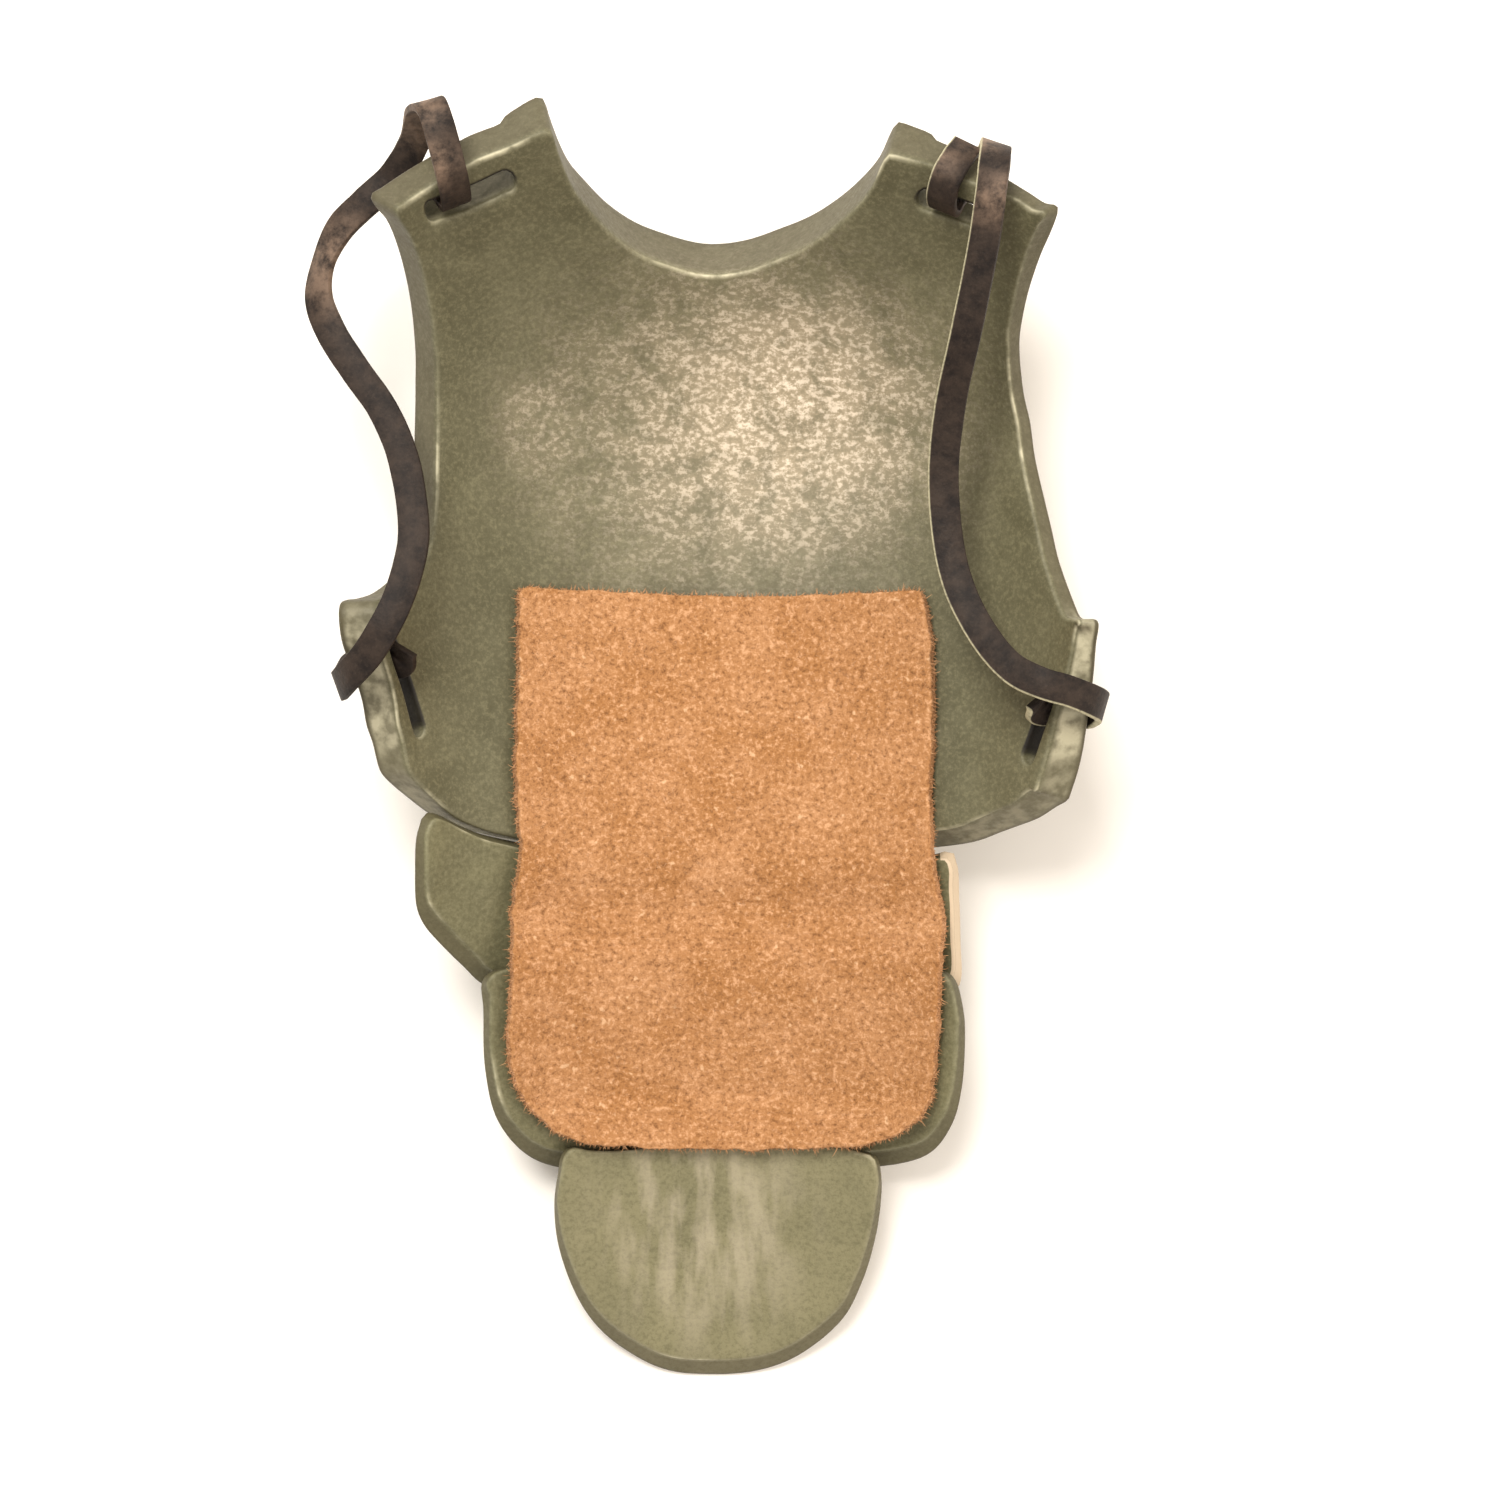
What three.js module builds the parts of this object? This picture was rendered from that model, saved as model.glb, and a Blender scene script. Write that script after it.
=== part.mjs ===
import * as THREE from 'three'

// Sizes in millimetres, of a one-sixth-scale breastplate
const HALF_WIDTH = 27        // centre line to the inner face of the side wings
const SIDE_DEPTH = 16.2      // hollow's depth from its floor to the wings' edge, in cross-section
const WALL = 3.3             // thickness of the cast chest plate
const PLATE_LENGTH = 58      // chest plate, from the shoulder edges to the lower edge
const NECK_BEND = 19.6       // radius of the bend that raises the neck end
const WAIST_RISE = 2.5       // how far the lower edge stands off the table
const NECK_ROLL = 2.1        // extra thickness of the collar along the neck
const NECK_ROLL_REACH = 3.2  // width of the collar
const NECK_ROLL_STEP = 0.9   // width of the step down from the collar to the plate
const RIGHT_THINNING = 1.6   // how much thinner the plate is cast on its right side
const PLATE_BEVEL = 1.2      // slope of the plate's lower edge on its right, measured along the plate
const LAME_WALL = 1.5
const LAME_BEVEL = 1.4       // the same slope on the lames' lower edges
const LAME_DROP = 0.5        // upper lame's inner face below the plate's, at the plate's lower edge
const LAMES_START = 0.568    // upper edge of the first lame, as a share of PLATE_LENGTH
const LAMES_END = 1.315      // lower end of the last lame, as a share of PLATE_LENGTH
const LAYER_GAP = 0.3        // air between two pieces that lie on each other
const SUEDE_WALL = 1
const SUEDE_ROUND = 0.15     // its cut edge's rounding, as a share of SUEDE_WALL
const STRAP_WIDTH = 2.5
const STRAP_WALL = 0.6
const SHOULDER_BAR = 2.2     // shoulder's edge to the middle of its strap slot
const SLOT_CLEARANCE = 0.375 // air on each face of a strap in its slot
const STRAP_CLEARANCE = 0.6  // air between a strap and the plate that it wraps
const EDGE_ROUND = 0.3       // worn edges of the castings
const REST_FLAT = 0.15       // depth of the flat that the belly rests on
const MESH_STEP = 2.4        // side of a facet
const RIM_STEP = 0.9         // the same along an edge
const GRID_CLEARANCE = 0.62  // how near a facet's corner comes to an edge, as a share of its side
const CREASE_CLEARANCE = 0.9 // how near the collar's own ends a crease line is kept, as a share of its reach
const GRID_WOBBLE = 0.02     // keeps four corners off one circle, as a share of a facet's side
const GIRTH_RADIUS = 0.8 * HALF_WIDTH // turns an angle round the body into a length on the flat pattern
const SUEDE_EASE = 1.6       // how gently the suede bends over a step
const BEND_ROOM = 1.3        // a strap bends this many times farther off the plate behind it than in front

// Where a form starts and ends: turns round the body in degrees, places along it as shares of PLATE_LENGTH
const WAIST_END = -0.55      // the lower edge's rise is complete
const NECK_TURN = 30.4       // the collar's ends, to the left and right of the centre line
const NECK_START = 0.25      // the neck's edge lies beyond this place
const ROLL_FADE = 45         // the collar's extra thickness would reach nothing at this turn
const THIN_FACE = [60, 95]   // the plate's right side thins from its inner face
const THIN_BACK = [40, 62]   // and from its outer face,
const THIN_FROM = [-0.45, -0.2] // above this stretch
const BEVEL_TURN = [15, 40]  // the plate's lower edge turns into a slope
const LAYERS = { upper: -0.56, middle: -0.678, lower: -0.953 } // each lame's start under the suede

// Colours of the surfaces
const PAINT = 0x7c7a5a
const SUEDE = 0xd8985f
const LEATHER = 0x463e3a

const rad = THREE.MathUtils.degToRad

// Height of the hollow's floor on the centre line; the belly's flat lies at zero
function floorHeight(y) {
  const lowest = WALL - REST_FLAT
  if (y > 0) return lowest + y * y / (2 * NECK_BEND)
  const t = Math.min(1, y / (WAIST_END * PLATE_LENGTH))
  return lowest + WAIST_RISE * t * t * (3 - 2 * t)
}

// A point of the body form: turn round the body in degrees, place along it, and distance inwards
function bodyPoint(turn, y, inward) {
  const a = rad(turn)
  const slope = (floorHeight(y + 0.01) - floorHeight(y - 0.01)) / 0.02
  const normal = new THREE.Vector3(
    -SIDE_DEPTH * Math.sin(a),
    -HALF_WIDTH * Math.cos(a) * slope,
    HALF_WIDTH * Math.cos(a)
  ).normalize()
  const z = floorHeight(y) + SIDE_DEPTH * (1 - Math.cos(a))
  return new THREE.Vector3(HALF_WIDTH * Math.sin(a), y, z).addScaledVector(normal, inward)
}

// Turn round the body of a point on the flat pattern
const turnOf = p => THREE.MathUtils.radToDeg(p.x / GIRTH_RADIUS)

// A rounded line through flat points, cut into equal steps
function outlineThrough(points, step, closed = true) {
  const flat = points.map(([turn, y]) => new THREE.Vector3(rad(turn) * GIRTH_RADIUS, y, 0))
  const curve = new THREE.CatmullRomCurve3(flat, closed, 'centripetal')
  const count = Math.max(6, Math.round(curve.getLength() / step))
  const spaced = curve.getSpacedPoints(count)
  if (closed) spaced.pop()
  return spaced.map(p => new THREE.Vector2(p.x, p.y))
}

// A strap slot's outline round its centre line
function slotOutline(points, height, step) {
  const line = outlineThrough(points, step, false)
  const sides = [[], []]
  line.forEach((p, i) => {
    const before = line[Math.max(0, i - 1)]
    const after = line[Math.min(line.length - 1, i + 1)]
    const along = after.clone().sub(before).normalize()
    const across = new THREE.Vector2(-along.y, along.x).multiplyScalar(height / 2)
    sides[0].push(p.clone().add(across))
    sides[1].push(p.clone().sub(across))
    if (i === 0) sides[1].unshift(p.clone().addScaledVector(along, -height / 2))
    if (i === line.length - 1) sides[0].push(p.clone().addScaledVector(along, height / 2))
  })
  return sides[0].concat(sides[1].reverse())
}

function inside(point, loop) {
  let hit = false
  for (let i = 0, j = loop.length - 1; i < loop.length; j = i++) {
    const a = loop[i]
    const b = loop[j]
    const crosses = (a.y > point.y) !== (b.y > point.y)
    if (crosses && point.x < (b.x - a.x) * (point.y - a.y) / (b.y - a.y) + a.x) hit = !hit
  }
  return hit
}

function distanceTo(point, loops) {
  let best = Infinity
  for (const loop of loops) {
    for (const p of loop) best = Math.min(best, p.distanceTo(point))
  }
  return best
}

// Moves each point of a loop sideways into the sheet; amount gets the point and the way into the sheet
function inset(loop, amount) {
  const turn = THREE.ShapeUtils.isClockWise(loop) ? -1 : 1
  return loop.map((p, i) => {
    const before = loop[(i + loop.length - 1) % loop.length]
    const after = loop[(i + 1) % loop.length]
    const along = after.clone().sub(before).normalize()
    const into = new THREE.Vector2(-along.y, along.x).multiplyScalar(turn)
    return p.clone().addScaledVector(into, amount(p, into))
  })
}

// Circle through three points, for the triangulation
function circleOf(a, b, c) {
  const d = 2 * (a.x * (b.y - c.y) + b.x * (c.y - a.y) + c.x * (a.y - b.y))
  const [aa, bb, cc] = [a.lengthSq(), b.lengthSq(), c.lengthSq()]
  const x = (aa * (b.y - c.y) + bb * (c.y - a.y) + cc * (a.y - b.y)) / d
  const y = (aa * (c.x - b.x) + bb * (a.x - c.x) + cc * (b.x - a.x)) / d
  const centre = new THREE.Vector2(x, y)
  return { centre, reach: centre.distanceTo(a) }
}

// Even triangles over a flat pattern: the loops' own points, creases inside them, and a grid between
function fillPattern(loops, creases, step) {
  const points = [...loops.flat(), ...creases.flat()]
  const box = new THREE.Box2().setFromPoints(loops[0])
  const rowStep = step * Math.sqrt(3) / 2
  let row = 0
  for (let y = box.min.y + rowStep / 2; y < box.max.y; y += rowStep) {
    row += 1
    const shift = row % 2 ? 0 : step / 2
    for (let x = box.min.x + shift; x < box.max.x; x += step) {
      const wobble = GRID_WOBBLE * step * Math.sin(37 * x + 91 * y) // any two unlike numbers serve here
      const p = new THREE.Vector2(x + wobble, y - wobble)
      const solid = inside(p, loops[0]) && !loops.slice(1).some(h => inside(p, h))
      if (solid && distanceTo(p, [...loops, ...creases]) > GRID_CLEARANCE * step) points.push(p)
    }
  }
  const far = 20 * PLATE_LENGTH // a triangle that holds the whole pattern
  const all = points.concat([
    new THREE.Vector2(-far, -far), new THREE.Vector2(far, -far), new THREE.Vector2(0, far)
  ])
  const n = points.length
  let cells = [{ corners: [n, n + 1, n + 2], ...circleOf(all[n], all[n + 1], all[n + 2]) }]
  for (let i = 0; i < n; i++) {
    const open = new Map()
    const kept = []
    for (const cell of cells) {
      if (cell.centre.distanceTo(all[i]) > cell.reach - 1e-9) {
        kept.push(cell)
        continue
      }
      for (let k = 0; k < 3; k++) {
        const a = cell.corners[k]
        const b = cell.corners[(k + 1) % 3]
        if (open.has(b + ',' + a)) open.delete(b + ',' + a)
        else open.set(a + ',' + b, [a, b])
      }
    }
    for (const [a, b] of open.values()) {
      kept.push({ corners: [a, b, i], ...circleOf(all[a], all[b], all[i]) })
    }
    cells = kept
  }
  const triangles = cells.map(cell => cell.corners).filter(t => {
    if (t.some(i => i >= n)) return false
    const middle = all[t[0]].clone().add(all[t[1]]).add(all[t[2]]).divideScalar(3)
    return inside(middle, loops[0]) && !loops.slice(1).some(h => inside(middle, h))
  })
  return { points, triangles }
}

// A sheet with rounded edges, bent onto the body form; its bevel makes the inner face the smaller one
function bentSheet({ outline, holes = [], creases = [], wall, innerFace, bevel, rounding, step, flatBelow }) {
  const loops = [outline, ...holes]
  const ring = (loop, i, share, margin) => inset(loop, (p, into) => {
    return i ? -margin : margin + bevel(p, into) * (1 - share)
  })
  const innerLoops = loops.map((loop, i) => ring(loop, i, 0, rounding))
  const outerLoops = loops.map((loop, i) => ring(loop, i, 1, rounding))
  const { points, triangles } = fillPattern(innerLoops, creases, step)
  const outerPoints = [...outerLoops.flat(), ...points.slice(loops.flat().length)]
  const place = (p, depth) => {
    const v = bodyPoint(turnOf(p), p.y, innerFace(p) - depth)
    if (v.z < flatBelow) v.z = flatBelow
    return v
  }
  const positions = []
  const index = []
  const layer = (list, depth) => {
    const first = positions.length / 3
    for (const p of list) positions.push(...place(p, depth(p)).toArray())
    return first
  }
  const top = layer(points, () => 0)
  const bottom = layer(outerPoints, wall)
  for (const [a, b, c] of triangles) {
    index.push(top + a, top + b, top + c)
    index.push(bottom + a, bottom + c, bottom + b)
  }
  let start = 0
  loops.forEach((loop, i) => {
    const n = loop.length
    const upper = layer(ring(loop, i, rounding / wall(loop[0]), 0), () => rounding)
    const lower = layer(ring(loop, i, 1, 0), p => wall(p) - rounding)
    const rings = [top + start, upper, lower, bottom + start]
    const flip = THREE.ShapeUtils.isClockWise(loop)
    for (let r = 0; r < 3; r++) {
      for (let k = 0; k < n; k++) {
        const next = (k + 1) % n
        const quad = [rings[r] + k, rings[r + 1] + k, rings[r + 1] + next, rings[r] + next]
        if (flip !== (i > 0)) quad.reverse()
        index.push(quad[0], quad[1], quad[2], quad[0], quad[2], quad[3])
      }
    }
    start += n
  })
  const geometry = new THREE.BufferGeometry()
  geometry.setAttribute('position', new THREE.Float32BufferAttribute(positions, 3))
  geometry.setIndex(index)
  geometry.computeVertexNormals()
  return geometry
}

// A flat strap swept along a line; each station gives its middle and which way its width points
function strapBand(stations, width, wall) {
  const line = new THREE.CatmullRomCurve3(stations.map(s => s.at), false, 'centripetal')
  const across = new THREE.CatmullRomCurve3(stations.map(s => s.across), false, 'centripetal')
  const perStation = 4
  const count = (stations.length - 1) * perStation
  const positions = []
  const index = []
  for (let i = 0; i <= count; i++) {
    const p = line.getPoint(i / count)
    const along = line.getTangent(i / count)
    const side = across.getPoint(i / count)
    side.addScaledVector(along, -side.dot(along)).normalize()
    const up = new THREE.Vector3().crossVectors(along, side)
    for (const [u, v] of [[-1, -1], [1, -1], [1, 1], [-1, 1]]) {
      const corner = p.clone()
      corner.addScaledVector(side, u * width / 2)
      corner.addScaledVector(up, v * wall / 2)
      positions.push(...corner.toArray())
    }
  }
  for (let i = 0; i < count; i++) {
    for (let k = 0; k < 4; k++) {
      const a = 4 * i + k
      const b = 4 * i + (k + 1) % 4
      index.push(a, b, b + 4, a, b + 4, a + 4)
    }
  }
  const e = 4 * count
  index.push(0, 2, 1, 0, 3, 2, e, e + 1, e + 2, e, e + 2, e + 3)
  const geometry = new THREE.BufferGeometry()
  geometry.setAttribute('position', new THREE.Float32BufferAttribute(positions, 3))
  geometry.setIndex(index)
  const split = geometry.toNonIndexed()
  split.computeVertexNormals()
  return split
}

// Chest plate: turn round the body in degrees, place along it as a share of PLATE_LENGTH
const chestRim = [
  [0, -0.555], [20, -0.545], [41, -0.529], [47.3, -0.521], [52.4, -0.508], [57.3, -0.497], [62.3, -0.486],
  [67.3, -0.469], [69.8, -0.462], [70.8, -0.456], [71.3, -0.448],
  [72.9, -0.427], [75.8, -0.387], [78.2, -0.352], [84.4, -0.281], [88, -0.243], [90.6, -0.227],
  [91, -0.219], [90, -0.213],
  [86, -0.211], [82, -0.208], [80.6, -0.204], [79.6, -0.197],
  [76.2, -0.162], [72.9, -0.118], [70.5, -0.07], [67.4, -0.011], [65.7, 0.026], [64.3, 0.07],
  [62.3, 0.107], [60.8, 0.156], [60.6, 0.184], [61.8, 0.218], [63.3, 0.246], [65.8, 0.279], [68.6, 0.305],
  [70, 0.321], [70.3, 0.329], [69.6, 0.334],
  [66.3, 0.339], [60.5, 0.356], [48.4, 0.382], [38.5, 0.407], [35.3, 0.413], [31.5, 0.42], [30.3, 0.422],
  [29.5, 0.419],
  [28.5, 0.408], [26.8, 0.384], [22.3, 0.352], [16, 0.321], [9.7, 0.302], [3.6, 0.288], [-2.6, 0.285],
  [-9.4, 0.297], [-14, 0.31], [-19, 0.334], [-22.7, 0.36], [-25, 0.378], [-26.6, 0.399], [-28, 0.425],
  [-28.7, 0.441], [-29.3, 0.447], [-30.3, 0.447],
  [-37.4, 0.427], [-44.1, 0.411], [-46.4, 0.404], [-57.2, 0.372], [-65.7, 0.347],
  [-68.4, 0.34], [-68.7, 0.334], [-67.6, 0.326], [-64.4, 0.31], [-61.5, 0.272], [-59.6, 0.225],
  [-58.6, 0.165], [-58.8, 0.11], [-59.2, 0.053], [-59.4, 0.01], [-59.6, -0.04], [-61, -0.095],
  [-64.5, -0.137], [-71, -0.166], [-78, -0.178], [-84.5, -0.183], [-87.8, -0.188], [-89.2, -0.198],
  [-89, -0.214], [-86.8, -0.236],
  [-83.2, -0.258], [-78.3, -0.286], [-74.9, -0.32], [-73, -0.355], [-70.8, -0.379], [-69.3, -0.404],
  [-68.7, -0.414], [-68, -0.421], [-66.8, -0.428],
  [-64.4, -0.439], [-59.7, -0.459], [-53.5, -0.485], [-47.6, -0.501], [-40.8, -0.514], [-20, -0.541]
]
// Middle lines of the strap slots. The shoulder's edge passes through the first two columns of the first two
// slots, and the third column gives how far below it the slot lies, as a share of SHOULDER_BAR.
const strapSlots = [
  [[-57.2, 0.372, 0.75], [-46.4, 0.404, 0.99], [-38.6, 0.425, 0.97]],
  [[37.8, 0.408, 1.06], [48.4, 0.382, 1], [55.5, 0.367, 1.19]],
  [[-77, -0.243, 0], [-70, -0.298, 0], [-64.5, -0.362, 0]],
  [[76, -0.303, 0], [71.6, -0.352, 0], [67.3, -0.4, 0]]
]

// Lames and suede: turn in degrees, place along the body as a share of PLATE_LENGTH
const upperRim = [
  [-61.8, -0.515], [-61.2, -0.497], [-59.6, -0.488], [-56.5, -0.491], [-50.4, -0.507], [-45.5, -0.519],
  [-40, -0.528], [-20, -0.556], [0, -LAMES_START], [20, -0.562], [38, -0.552], [43.2, -0.545],
  [44.3, -0.553], [44.3, -0.607], [43.9, -0.665], [43.4, -0.722], [42.4, -0.736],
  [38, -0.748], [20, -0.757], [0, -0.76], [-20, -0.757], [-36, -0.745], [-42.7, -0.729], [-46.9, -0.703],
  [-53.2, -0.665], [-57.2, -0.639], [-59.6, -0.613], [-61.1, -0.562]
]
const middleRim = [
  [-44.8, -0.724], [-43.5, -0.711], [-38, -0.702], [-20, -0.688], [0, -0.684], [20, -0.688], [38, -0.702],
  [43, -0.711], [44.5, -0.724], [45.6, -0.768], [45.5, -0.798], [44, -0.874], [41.4, -0.931], [36.9, -0.975],
  [30.7, -0.995], [15, -1.008], [0, -1.01], [-15, -1.008], [-27.8, -1.001], [-33.6, -0.98],
  [-39.6, -0.926], [-42.8, -0.849], [-44.1, -0.761]
]
const lowerRim = [
  [-28.6, -1.003], [-28.2, -0.98], [-26.7, -0.967], [-22.7, -0.972], [-14.3, -0.971], [-8, -0.958],
  [0, -0.952], [12, -0.955], [20, -0.965], [24.7, -0.973], [27.6, -0.981], [28.3, -1.003],
  [28.3, -1.033], [26.7, -1.104], [23.9, -1.172], [20.2, -1.229], [12.3, -1.287], [6, -1.309],
  [-1.2, -LAMES_END], [-8.7, -1.308], [-16.3, -1.272], [-22.4, -1.219], [-27.8, -1.12], [-29.1, -1.05]
]
const suedeRim = [
  [-39.3, -0.165], [-38.6, -0.161], [-20, -0.165], [0, -0.169], [20, -0.168], [38.8, -0.165], [39.9, -0.169],
  [42.1, -0.29], [41.4, -0.459], [42.2, -0.571], [43.9, -0.656], [42.2, -0.802], [38, -0.914], [28.2, -0.957],
  [6.6, -0.969], [-15, -0.966], [-29.1, -0.947], [-38.9, -0.866], [-40.7, -0.686], [-38.8, -0.528],
  [-39.9, -0.436], [-39.5, -0.29]
]

const along = list => list.map(([turn, share, below = 0]) => {
  return [turn, share * PLATE_LENGTH - below * SHOULDER_BAR]
})

// Inner faces, as distances inwards from the plate's own inner face
const lameFall = (floorHeight(-PLATE_LENGTH) - LAME_DROP + LAME_WALL + 2 * LAYER_GAP) /
  ((LAMES_END - LAMES_START) * PLATE_LENGTH)
const plateFace = () => 0
const upperFace = y => lameFall * (y + LAMES_START * PLATE_LENGTH) - LAME_DROP
const middleFace = y => upperFace(y) + LAME_WALL + LAYER_GAP
const lowerFace = y => middleFace(y) + LAME_WALL + LAYER_GAP

// Face of the highest layer under the suede at a place, then eased over the steps between layers
function layerUnder(y) {
  const share = y / PLATE_LENGTH
  if (share > LAYERS.upper) return plateFace(y)
  if (share > LAYERS.middle) return upperFace(y)
  if (share > LAYERS.lower) return middleFace(y)
  return lowerFace(y)
}

function suedeFace(y) {
  const reach = [-1, -0.5, 0, 0.5, 1].map(s => s * SUEDE_EASE)
  const crest = v => Math.max(...reach.map(d => layerUnder(v + d)))
  const mean = reach.reduce((sum, d) => sum + crest(y + d), 0) / reach.length
  return mean + LAYER_GAP + SUEDE_WALL
}

// Strap stations: the middle of the strap, and which way its width points
const strapLift = STRAP_CLEARANCE + STRAP_WALL / 2
const BEHIND = -WALL - BEND_ROOM * strapLift
const IN_SLOT = -WALL / 2
const IN_FRONT = strapLift

// A station beside the plate: turn, share along, distance inwards
function plateStation(turn, share, inward, across) {
  return { at: bodyPoint(turn, share * PLATE_LENGTH, inward), across: new THREE.Vector3(...across) }
}

// A free station: shares of HALF_WIDTH and PLATE_LENGTH, and of SIDE_DEPTH above the hollow's floor
function freeStation(x, y, rise, across) {
  const along = y * PLATE_LENGTH
  const at = new THREE.Vector3(x * HALF_WIDTH, along, floorHeight(along) + rise * SIDE_DEPTH)
  return { at, across: new THREE.Vector3(...across) }
}

const leftStrap = [
  plateStation(-50.5, 0.35, BEHIND, [0.87, 0.4, -0.28]),
  plateStation(-51, 0.3585, IN_SLOT, [0.87, 0.4, -0.28]),
  plateStation(-51, 0.3595, 0.2 * IN_FRONT, [0.87, 0.4, -0.28]),
  plateStation(-51.5, 0.374, IN_FRONT, [0.87, 0.42, -0.25]),
  plateStation(-52.5, 0.41, IN_FRONT, [0.9, 0.4, -0.2]),
  freeStation(-0.826, 0.474, 0.13, [0.95, 0.3, 0]),
  freeStation(-0.868, 0.483, -0.1, [0.95, 0.2, 0]),
  freeStation(-0.909, 0.453, -0.24, [0.9, -0.1, 0]),
  freeStation(-0.982, 0.412, -0.2, [0.8, -0.5, 0]),
  freeStation(-1.072, 0.376, -0.08, [0.7, -0.7, 0.1]),
  freeStation(-1.148, 0.343, 0.009, [0.72, -0.6, 0.3]),
  freeStation(-1.2, 0.297, 0.13, [0.7, -0.15, 0.65]),
  freeStation(-1.215, 0.248, 0.269, [0.85, 0.15, 0.45]),
  freeStation(-1.178, 0.2, 0.408, [0.88, 0.4, 0.15]),
  freeStation(-1.096, 0.141, 0.576, [0.84, 0.53, 0.05]),
  freeStation(-1.011, 0.086, 0.729, [0.84, 0.53, 0]),
  freeStation(-0.948, 0.024, 0.852, [0.93, 0.36, 0]),
  freeStation(-0.911, -0.045, 0.951, [0.99, 0.05, 0.05]),
  freeStation(-0.9, -0.1, 1, [0.99, -0.05, 0.05]),
  freeStation(-0.915, -0.145, 1.03, [0.95, -0.25, 0]),
  freeStation(-0.945, -0.19, 1.05, [0.88, -0.45, 0]),
  freeStation(-0.985, -0.228, 1.05, [0.78, -0.6, 0]),
  freeStation(-1.035, -0.262, 0.995, [0.62, -0.77, 0.05]),
  freeStation(-1.097, -0.29, 0.9, [0.4, -0.9, 0.1]),
  freeStation(-1.132, -0.302, 0.76, [0.32, -0.92, -0.1]),
  freeStation(-1.127, -0.293, 0.66, [0.3, -0.85, -0.35]),
  plateStation(-73.4, -0.27, BEHIND, [0.26, -0.87, -0.42]),
  plateStation(-73.4, -0.27, IN_SLOT, [0.26, -0.87, -0.42]),
  plateStation(-73.4, -0.27, 0.2 * IN_FRONT, [0.26, -0.87, -0.42]),
  plateStation(-76.6, -0.252, IN_FRONT, [0.26, -0.87, -0.42])
]

const rightStrap = [
  plateStation(76.2, -0.322, 0.6 * IN_FRONT, [0.3, 0.85, 0.42]),
  plateStation(73, -0.336, -0.1 * IN_FRONT, [0.3, 0.85, 0.42]),
  plateStation(73, -0.336, 1.2 * IN_SLOT, [0.3, 0.85, 0.42]),
  plateStation(73, -0.336, BEHIND, [0.3, 0.85, 0.42]),
  freeStation(1.142, -0.333, 0.77, [0.25, 0.93, 0.2]),
  freeStation(1.105, -0.324, 0.92, [0.2, 0.97, 0.1]),
  freeStation(1.03, -0.311, 0.985, [0.17, 0.98, 0.05]),
  freeStation(0.955, -0.301, 1, [0.2, 0.97, 0]),
  freeStation(0.865, -0.278, 0.92, [0.45, 0.88, -0.1]),
  freeStation(0.767, -0.214, 0.79, [0.78, 0.62, 0]),
  freeStation(0.704, -0.138, 0.726, [0.94, 0.3, 0.1]),
  freeStation(0.674, -0.017, 0.743, [0.99, 0.05, 0.12]),
  freeStation(0.689, 0.083, 0.819, [0.98, -0.12, 0.15]),
  freeStation(0.733, 0.19, 0.887, [0.96, -0.2, 0.15]),
  freeStation(0.777, 0.303, 0.75, [0.93, -0.15, 0.33]),
  freeStation(0.793, 0.365, 0.6, [0.9, -0.2, 0.4]),
  freeStation(0.806, 0.41, 0.36, [0.9, -0.3, 0.35]),
  freeStation(0.815, 0.436, 0.07, [0.92, -0.35, 0.2]),
  freeStation(0.812, 0.436, -0.18, [0.92, -0.38, 0.1]),
  freeStation(0.778, 0.424, -0.27, [0.9, -0.4, 0.15]),
  plateStation(42.5, 0.35, BEHIND, [0.87, -0.4, 0.28]),
  plateStation(42.5, 0.3565, IN_SLOT, [0.87, -0.4, 0.28]),
  plateStation(42.3, 0.3575, 0.2 * IN_FRONT, [0.87, -0.4, 0.28]),
  plateStation(42, 0.373, IN_FRONT, [0.87, -0.4, 0.28]),
  plateStation(42.6, 0.3965, 0.8 * IN_FRONT, [0.9, -0.4, 0.2]),
  plateStation(43.6, 0.4055, -0.2 * WALL, [0.93, -0.35, 0.1]),
  plateStation(44.4, 0.405, -0.8 * WALL, [0.93, -0.35, 0.1])
]

function piece(name, geometry, colour, metalness, roughness) {
  const material = new THREE.MeshStandardMaterial({ color: colour, metalness, roughness })
  material.name = name + '_surface'
  const mesh = new THREE.Mesh(geometry, material)
  mesh.name = name
  return mesh
}

function plate(rim, wall, innerFace, extra = {}) {
  return bentSheet({
    outline: outlineThrough(along(rim), RIM_STEP),
    wall: () => wall,
    rounding: EDGE_ROUND,
    step: MESH_STEP,
    flatBelow: 0,
    innerFace: p => innerFace(p.y),
    bevel: () => 0,
    ...extra
  })
}

// A slope on edges that face the lower end
const lameBevel = (p, into) => LAME_BEVEL * Math.max(0, into.y)

const { smoothstep } = THREE.MathUtils
const chestBevel = (p, into) => PLATE_BEVEL * Math.max(0, into.y) * smoothstep(turnOf(p), ...BEVEL_TURN)
const chestFace = p => -RIGHT_THINNING * smoothstep(turnOf(p), ...THIN_FACE)

// The neck's edge; the plate steps up outwards into a collar along it
const chestOutline = outlineThrough(along(chestRim), RIM_STEP)
const atNeck = p => Math.abs(turnOf(p)) < NECK_TURN && p.y > NECK_START * PLATE_LENGTH
const neckLine = chestOutline.filter(atNeck)
const collarCreases = [NECK_ROLL_REACH - NECK_ROLL_STEP, NECK_ROLL_REACH].map(reach => {
  const line = inset(chestOutline, () => reach).filter((p, i) => atNeck(chestOutline[i]))
  return line.filter(p => distanceTo(p, [chestOutline]) > CREASE_CLEARANCE * reach)
})

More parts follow.
